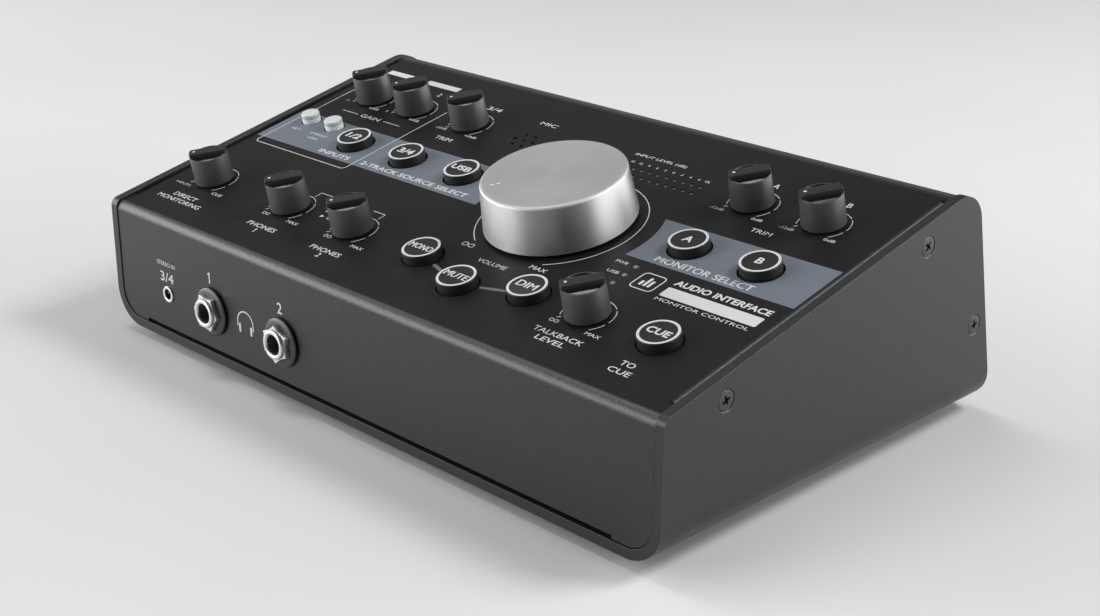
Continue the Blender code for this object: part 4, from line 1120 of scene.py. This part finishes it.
# ---------------------------------------------------------------- buttons
def cap_mesh(label, cap):
    def build(bm):
        prof = [(0, -5.3), (2.0, -5.3), (2.0, -3.2), (6.9, -3.2), (6.9, -2.0), (5.97, -1.95), (5.95, 2.55), (5.90, 2.78), (5.78, 2.92), (5.6, 2.98), (5.0, 2.975), (4.6, 2.93), (0, 2.90)]
        add_lathe(bm, prof, 72)
        add_lathe(bm, [(4.98, 2.90), (5.72, 2.90), (5.72, 2.985), (5.68, 3.0), (5.02, 3.0), (4.98, 2.985)], 72, mat=1)
        w = {"USB": 8.2, "1/2": 6.4, "3/4": 6.6, "DIM": 7.0, "CUE": 7.6, "MUTE": 8.8, "MONO": 9.0}.get(label)
        add_text(bm, label, {1: 3.0, 3: 2.75, 4: 2.5}[len(label)], 0, 0.1, Matrix.Identity(4), width=w, bold=0.028, mat=1, lift=2.94)
    return build


for key, (x, s, label) in BLACK_BUTTONS.items():
    put(key + "_cap", mesh_from(cap_mesh(label, 0), key + "_cap", recalc=False), [M_CAP, M_INK], panel_matrix(x, s), body_of(key), [key], sharp=30)


def tally_mesh(bm):
    prof = [(0, -5.3), (2.0, -5.3), (2.0, -3.2), (4.05, -3.2), (4.05, -2.0), (3.15, -1.95), (3.15, 1.2), (3.1, 1.34), (3.0, 1.4), (3.0, 1.5), (3.1, 1.58), (3.13, 1.72), (3.13, 2.72), (3.04, 2.98), (2.84, 3.14), (2.5, 3.2), (0, 3.14)]
    add_lathe(bm, prof, 56, mats=[0] * 8 + [1] * 8)


for key, (x, s) in TALLY_BUTTONS.items():
    put(key + "_cap", mesh_from(tally_mesh, key + "_cap"), [M_MILKY, M_MILKY_UPPER_DARKER], panel_matrix(x, s), body_of(key), [key], sharp=30)


# ---------------------------------------------------------------- indicator lenses
def lenses(bm):
    dome = [(0, -1.95), (0.78, -1.95), (0.78, -0.62), (0.7, -0.38), (0.45, -0.22), (0, -0.16)]
    for row in METER_ROWS:
        for i in range(METER_N):
            add_lathe(bm, dome, 16, Matrix.Translation(Vector(((METER_X0 + (i - (METER_N - 1) / 2) * METER_PITCH) * MM, row * MM, 0))))
    for x, s in STATUS_LEDS:
        add_lathe(bm, [(0, -1.95), (0.93, -1.95), (0.93, -0.25), (0.8, 0.0), (0.5, 0.12), (0, 0.16)], 24, Matrix.Translation(Vector((x * MM, s * MM, 0))))


put("indicator_lenses", mesh_from(lenses, "indicator_lenses"), M_LENS, PM, "case", sharp=40)


# ---------------------------------------------------------------- headphone sockets
def notched(r_corner, r_valley, seg=96, turn=0.0, power=0.8):
    pts = []
    for i in range(seg):
        a = 2 * math.pi * i / seg
        t = (a % (math.pi / 3)) / (math.pi / 3)
        r = r_corner - (r_corner - r_valley) * math.sin(math.pi * t) ** power
        pts.append((r * math.cos(a + turn), r * math.sin(a + turn)))
    return pts


def ring_between(bm, outer_layers, inner_r, seg, mat=0, chamfer=0.15):
    """Ring whose outside follows a stack of outlines and whose bore is round."""
    z_low, z_top = outer_layers[0][1], outer_layers[-1][1]
    first = outer_layers[0][0]
    angles = [math.atan2(p[1], p[0]) for p in first]
    inner = lambda r: [(r * math.cos(a), r * math.sin(a)) for a in angles]
    stack = outer_layers + [(inner(inner_r + chamfer), z_top), (inner(inner_r), z_top - chamfer), (inner(inner_r), z_low)]
    rings = [[bm.verts.new(Vector((p[0] * MM, p[1] * MM, z * MM))) for p in o] for o, z in stack]
    for k in range(len(rings)):
        a, b = rings[k], rings[(k + 1) % len(rings)]
        for i in range(seg):
            j = (i + 1) % seg
            bm.faces.new([a[i], a[j], b[j], b[i]]).material_index = mat


def jack_nut(bm):
    ring_between(bm, [(notched(5.95, 4.80), -2.30), (notched(6.05, 4.86), -2.18), (notched(6.05, 4.86), -1.04), (notched(6.00, 4.82), -0.92), (notched(5.92, 4.78), -0.88)], 4.52, 96, chamfer=0.05)


def jack_body(bm):
    thread = []
    for i in range(2):
        thread += [(4.46, -0.20 - 0.30 * i), (4.32, -0.34 - 0.30 * i)]
    prof = [(0, -20.6), (3.05, -20.6), (3.05, -0.95), (3.1, -0.55), (3.32, -0.16), (3.5, -0.04), (3.7, 0.0), (4.24, 0.0), (4.42, -0.1)] + thread + [(4.38, -1.8), (4.38, -6.0), (7.4, -6.0), (7.4, -23.6), (0, -23.6)]
    mats = [1, 1, 1] + [0] * (len(prof) - 7) + [1, 1, 1]
    add_lathe(bm, prof, 56, mats=mats)
    # contact springs inside the bore
    for a in (0.6, 2.7, 4.6):
        m = Matrix.Rotation(a, 4, "Z")
        add_prism(bm, rect(2.35, -0.6, 2.75, 0.6), -9.5, -4.5, m, mat=2)


def collar(bm):
    prof = [(4.7, 0.12), (7.2, 0.12), (7.55, 0.25), (7.65, 0.48), (7.6, 0.66), (7.3, 0.88), (6.7, 1.08), (6.1, 1.22), (5.2, 1.28), (4.7, 1.28)]
    add_lathe(bm, prof, 64)


for key, (x, z) in PHONES_JACKS.items():
    face = front_matrix(x, z, -NUT_PROUD)
    put("phones_socket_" + key, mesh_from(jack_body, "phones_socket_" + key), [M_NICKEL, M_BORE, M_BRASS], face, "case", ["phones_jack_" + key], sharp=30)
    put("phones_hex_nut_" + key, mesh_from(jack_nut, "phones_hex_nut_" + key), M_NICKEL, face @ Matrix.Rotation(math.radians(-4.5 if key == "1" else 31.0), 4, "Z"), "case", ["phones_nut_" + key], sharp=28)
    put("phones_washer_" + key, mesh_from(collar, "phones_washer_" + key), M_COLLAR, front_matrix(x, z, 0.0), "case", ["phones_collar_" + key], sharp=40)


def mini_socket(bm):
    prof = [(0, -11.5), (1.7, -11.5), (1.7, -0.05), (1.76, 0.1), (1.9, 0.17), (2.4, 0.17), (2.58, 0.12), (2.66, 0.0), (2.66, -2.2), (3.1, -2.2), (3.1, -13.0), (0, -13.0)]
    add_lathe(bm, prof, 56, mats=[1, 1, 0, 0, 0, 0, 0, 0, 1, 1, 1])
    for a in (1.1, 3.0, 5.2):
        add_prism(bm, rect(0.72, -0.34, 1.66, 0.34), -5.5, -0.9, Matrix.Rotation(a, 4, "Z"), mat=0)


put("line_in_socket_small", mesh_from(mini_socket, "line_in_socket_small"), [M_NICKEL, M_SOCKET], front_matrix(*MINI_JACK), "case", ["line_in_mini_jack"], sharp=30)


# ---------------------------------------------------------------- side screws
def screw_master():
    ob = put("screw_master", mesh_from(lambda bm: add_lathe(bm, [(0, -7.5), (1.4, -7.5), (1.4, -1.6), (2.78, -0.32), (2.84, -0.22), (2.78, -0.13), (2.5, -0.06), (0, -0.01)], 56), "screw"), M_SCREW, None, sharp=None)

    for a in (0, math.pi / 2):
        me = mesh_from(lambda bm: add_layers(bm, [(rect(-0.55, -0.22, 0.55, 0.22), -1.5), (rect(-1.62, -0.38, 1.62, 0.38), 0.3)], Matrix.Rotation(a, 4, "Z")), "cross")
        boolean(ob, me, "DIFFERENCE")
    me = ob.data
    bpy.data.objects.remove(ob, do_unlink=True)
    return me


master = screw_master()
turns = {"front": 0.35, "rear_upper": 0.9, "rear_lower": 0.15}
for sign, side in ((-1, "left"), (1, "right")):
    for key, (y, z) in SCREWS.items():
        name = "side_screw_%s_%s" % (side, key)
        put(name + "_head", master.copy(), M_SCREW, side_matrix(sign, y, z) @ Matrix.Rotation(turns[key] + (0.4 if sign < 0 else 0), 4, "Z"), "case", [name], sharp=30)


# ---------------------------------------------------------------- feet
def foot(bm):
    prof = [(0, 0.6), (2.4, 0.6), (2.6, 0.35), (3.6, 0.15), (3.8, 0.0), (5.5, 0.0), (6.0, 0.12), (6.35, 0.5), (6.5, 1.0), (6.5, 2.5), (6.42, 2.7), (0, 2.7)]
    add_lathe(bm, prof, 56)


for sx, sidename in ((-1, "left"), (1, "right")):
    for fy, endname in ((17.0, "front"), (129.0, "rear")):
        name = "foot_%s_%s" % (endname, sidename)
        put(name + "_pad", mesh_from(foot, name + "_pad"), M_RUBBER, Matrix.Translation(world(sx * 96.0, fy, -FOOT_H)), "case", [name], sharp=35)


# ---------------------------------------------------------------- rear sockets
def combo(bm):
    D = REAR_DEPTH
    prof = [(0, -D), (11.7, -D), (11.7, 0.3), (13.1, 0.3), (13.5, 0.6), (13.5, 1.4), (13.2, 1.75), (12.6, 1.8), (10.2, 1.8), (9.7, 1.6), (9.5, 1.2), (9.5, -14.0), (8.0, -14.0), (8.0, -0.1), (7.8, 0.15), (7.3, 0.2),
            (3.9, 0.2), (3.55, 0.05), (3.4, -0.3), (3.4, -20.0), (0, -20.0)]
    add_lathe(bm, prof, 72)


for key, x in COMBO_X.items():
    ob = put("combo_socket_" + key, mesh_from(combo, "combo_socket_" + key), [M_SOCKET, M_BRASS], rear_matrix(x, COMBO_W), sharp=None)

    def pins(bm):
        for a in (math.radians(90), math.radians(210), math.radians(330)):
            add_prism(bm, circle(1.05, 20, 5.75 * math.cos(a), 5.75 * math.sin(a)), -9.0, 1.5)
    boolean(ob, mesh_from(pins, "pins"), "DIFFERENCE")
    ob.data.shade_smooth()
    ob.data.set_sharp_from_angle(angle=math.radians(32))
    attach(ob, "case")
    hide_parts("combo_input_jack_" + key)

    def latch(bm):
        add_layers(bm, [(rounded(-2.6, 9.0, 2.6, 12.4, 0.6), 1.0), (rounded(-2.6, 9.0, 2.6, 12.4, 0.6), 2.0), (rounded(-2.4, 9.2, 2.4, 12.2, 0.5), 2.15)])
        for i in range(3):
            add_prism(bm, rect(-1.8, 9.9 + i * 0.75, 1.8, 10.15 + i * 0.75), 2.1, 2.25)
    put("combo_latch_" + key, mesh_from(latch, "combo_latch_" + key), M_COLLAR, rear_matrix(x, COMBO_W), "case", sharp=35)


def plain_hex(r, seg=72):
    pts = []
    for i in range(seg):
        a = 2 * math.pi * i / seg
        pts.append((r * math.cos(math.pi / 6) / math.cos((a % (math.pi / 3)) - math.pi / 6) * math.cos(a), r * math.cos(math.pi / 6) / math.cos((a % (math.pi / 3)) - math.pi / 6) * math.sin(a)))
    return pts


def stack_body(bm):
    mid = (STACK_W[0] + STACK_W[1]) / 2
    add_layers(bm, [(rounded(-7.2, STACK_W[0] - mid - 7.5, 7.2, STACK_W[1] - mid + 7.5, 0.6), -REAR_DEPTH), (rounded(-7.2, STACK_W[0] - mid - 7.5, 7.2, STACK_W[1] - mid + 7.5, 0.6), -2.2)])
    for w in STACK_W:
        add_lathe(bm, [(3.4, -20.0), (4.4, -20.0), (4.4, 1.9), (4.25, 2.1), (4.0, 2.2), (3.75, 2.15), (3.5, 1.95), (3.4, 1.7)], 48, Matrix.Translation(Vector((0, (w - mid) * MM, 0))), mat=0)
        for a in (0.6, 2.7, 4.6):
            add_prism(bm, rect(2.35, -0.6, 2.75, 0.6), -9.5, -4.5, Matrix.Translation(Vector((0, (w - mid) * MM, 0))) @ Matrix.Rotation(a, 4, "Z"), mat=1)


def stack_nut(bm):
    ring_between(bm, [(plain_hex(6.2), 0.32), (plain_hex(6.4), 0.42), (plain_hex(6.4), 1.2), (plain_hex(6.1), 1.4)], 4.45, 72, chamfer=0.12)


for key, x in STACK_X.items():
    mid = sum(STACK_W) / 2
    ob = put(key + "_sockets", mesh_from(stack_body, key + "_sockets"), [M_SOCKET, M_BRASS], rear_matrix(x, mid), "case", [key + "_jacks"], sharp=35)
    cut = [circle(3.36, 40, 0, w - mid) for w in STACK_W]
    boolean(ob, mesh_from(lambda bm: [add_prism(bm, c, -19.0, -2.0) for c in cut], "bores"), "DIFFERENCE")
    ob.data.shade_smooth()
    ob.data.set_sharp_from_angle(angle=math.radians(35))
    for w, tag in zip(STACK_W, ("lower", "upper")):
        put("%s_nut_%s" % (key, tag), mesh_from(stack_nut, "%s_nut_%s" % (key, tag)), M_NICKEL, rear_matrix(x, w) @ Matrix.Rotation(0.3 if tag == "lower" else 0.8, 4, "Z"), "case", sharp=28)


def usb_shell(bm):
    add_layers(bm, [(rounded(-6.0, -5.5, 6.0, 5.5, 0.5), -16.0), (rounded(-6.0, -5.5, 6.0, 5.5, 0.5), 0.45), (rounded(-5.85, -5.35, 5.85, 5.35, 0.4), 0.6)])


usb = put("usb_socket", mesh_from(usb_shell, "usb_socket"), [M_NICKEL, M_SOCKET], rear_matrix(*USB_POS), sharp=None)
mouth = [(-4.3, -3.95), (4.3, -3.95), (4.3, 2.3), (2.7, 3.95), (-2.7, 3.95), (-4.3, 2.3)]
boolean(usb, mesh_from(lambda bm: add_prism(bm, mouth, -11.0, 1.5), "mouth"), "DIFFERENCE")
usb.data.shade_smooth()
usb.data.set_sharp_from_angle(angle=math.radians(30))
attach(usb, "case")
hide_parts("usb_port")


def usb_tongue(bm):
    add_layers(bm, [(rounded(-2.8, -1.6, 2.8, 1.6, 0.25), -11.4), (rounded(-2.8, -1.6, 2.8, 1.6, 0.25), -1.2), (rounded(-2.65, -1.45, 2.65, 1.45, 0.2), -1.0)])
    for sx in (-1, 1):
        for sy in (-1, 1):
            add_prism(bm, rect(sx * 1.25 - 0.4, sy * 1.68 - 0.12, sx * 1.25 + 0.4, sy * 1.68 + 0.12), -9.0, -2.0, mat=1)


put("usb_tongue", mesh_from(usb_tongue, "usb_tongue"), [M_INK, M_BRASS], rear_matrix(*USB_POS), "case", sharp=35)


def dc(bm):
    add_lathe(bm, [(0, -14.0), (5.4, -14.0), (5.4, -2.2), (4.2, -2.2), (4.2, 0.4), (4.05, 0.6), (3.1, 0.6), (2.9, 0.4), (2.9, -10.0), (0, -10.0)], 48)
    add_lathe(bm, [(0, -10.5), (1.0, -10.5), (1.0, -1.3), (0.7, -1.05), (0, -1.0)], 24, mat=1)


put("dc_socket", mesh_from(dc, "dc_socket"), [M_SOCKET, M_NICKEL], rear_matrix(*DC_POS), "case", ["dc_inlet"], sharp=32)


def power_cap(bm):
    add_lathe(bm, [(0, -12.0), (2.0, -12.0), (2.0, -3.4), (5.2, -3.4), (5.2, -2.0), (4.0, -1.9), (4.0, 2.55), (3.9, 2.8), (3.6, 2.95), (3.3, 3.0), (0, 2.88)], 56)
    add_lathe(bm, [(1.15, 2.8), (1.4, 2.8), (1.4, 2.95), (1.15, 2.95)], 32, mat=1)


put("power_cap", mesh_from(power_cap, "power_cap"), [M_CAP, M_INK], rear_matrix(*POWER_POS), body_of("power_button"), ["power_button"], sharp=32)


def rear_legends(bm):
    m = rear_matrix()
    T = lambda body, cap, x, w, **kw: add_text(bm, body, cap, -x, w, m, **kw)
    T("INPUT 1", 1.9, -92.0, 45.2, width=11.0)
    T("INPUT 2", 1.9, -60.0, 45.2, width=11.0)
    T("LINE IN", 1.9, -30.0, 50.6, width=10.0)
    T("OUT A", 1.9, 2.0, 50.6, width=8.6)
    T("OUT B", 1.9, 30.0, 50.6, width=8.6)
    for x in (-30.0, 2.0, 30.0):
        T("L", 1.7, x - 9.6, 37.0)
        T("R", 1.7, x - 9.6, 17.0)
    T("USB", 1.9, 58.0, 29.6, width=5.4)
    T("DC IN", 1.9, 80.0, 29.6, width=7.6)
    T("POWER", 1.9, 100.0, 29.6, width=9.8)
    for x in (-92.0, -60.0):
        add_ribbon(bm, [(-x + 15.6 * math.sin(math.radians(a)), COMBO_W + 15.6 * math.cos(math.radians(a))) for a in range(200, 521, 8)], 0.3, m)


put("rear_legends", mesh_from(rear_legends, "rear_legends", recalc=False), M_INK, None, "case", sharp=None)

# ---------------------------------------------------------------- stage, light and camera
floor_me = mesh_from(lambda bm: add_prism(bm, circle(5000.0, 96), -20.0, 0.0), "floor")
fm = Mat("pale_floor_paint", 0.6, 0.0, 0.2)
fm.colour(fm.ramp(fm.noise(3.0, 4.0, 0.5), [(0.3, (0.66, 0.66, 0.658)), (0.7, (0.70, 0.70, 0.698))]))
floor = put("floor", floor_me, fm.m, None, sharp=None)

bpy.context.scene.view_settings.view_transform = "Standard"
bpy.context.scene.view_settings.look = "None"
wd = bpy.data.worlds.new("studio")
bpy.context.scene.world = wd
wd.use_nodes = True
wd.node_tree.nodes["Background"].inputs["Color"].default_value = (0.92, 0.95, 1.0, 1.0)
wd.node_tree.nodes["Background"].inputs["Strength"].default_value = 0.09


def area(name, where, target, size_x, size_y, watts, colour=(1, 1, 1)):
    li = bpy.data.lights.new(name, "AREA")
    li.shape = "RECTANGLE"
    li.size, li.size_y = size_x, size_y
    li.energy = watts
    li.color = colour
    ob = bpy.data.objects.new(name, li)
    bpy.context.scene.collection.objects.link(ob)
    d = Vector(target) - Vector(where)
    ob.location = where
    ob.rotation_euler = d.to_track_quat("-Z", "Y").to_euler()
    return ob


area("key_front_left", (-1.00, -0.82, 0.40), (0, 0, 0.04), 1.90, 0.76, 24.5)
area("fill_right", (0.95, 0.95, 0.34), (0, 0, 0.04), 2.20, 0.66, 21.5)
area("high_right_rear", (0.66, 0.52, 1.02), (0, 0, 0.04), 0.42, 0.42, 9.0)
area("soft_left_rear", (-0.86, 0.57, 0.84), (0, 0, 0.04), 0.90, 0.90, 1.0)
area("overhead", (-0.36, -0.08, 1.31), (0, 0, 0.04), 0.30, 0.78, 4.6)

az, el, roll = math.radians(45.0), math.radians(21.05), math.radians(0.348)
back = Vector((math.sin(az) * math.cos(el), -math.cos(az) * math.cos(el), math.sin(el)))
right = Vector((math.cos(az), math.sin(az), 0.0))
up = back.cross(right)
r2 = right * math.cos(roll) + up * math.sin(roll)
u2 = up * math.cos(roll) - right * math.sin(roll)
cam_data = bpy.data.cameras.new("camera")
cam_data.sensor_fit = "HORIZONTAL"
cam_data.sensor_width = 36.0
cam_data.lens = 1761.146 * 36.0 / 1100.0
cam_data.clip_start = 0.01
cam = bpy.data.objects.new("camera", cam_data)
bpy.context.scene.collection.objects.link(cam)
rot = Matrix((r2, u2, back)).transposed().to_4x4()
cam.matrix_world = Matrix.Translation(world(366.50, -284.81, 213.82)) @ rot
bpy.context.scene.camera = cam

bpy.context.view_layer.update()
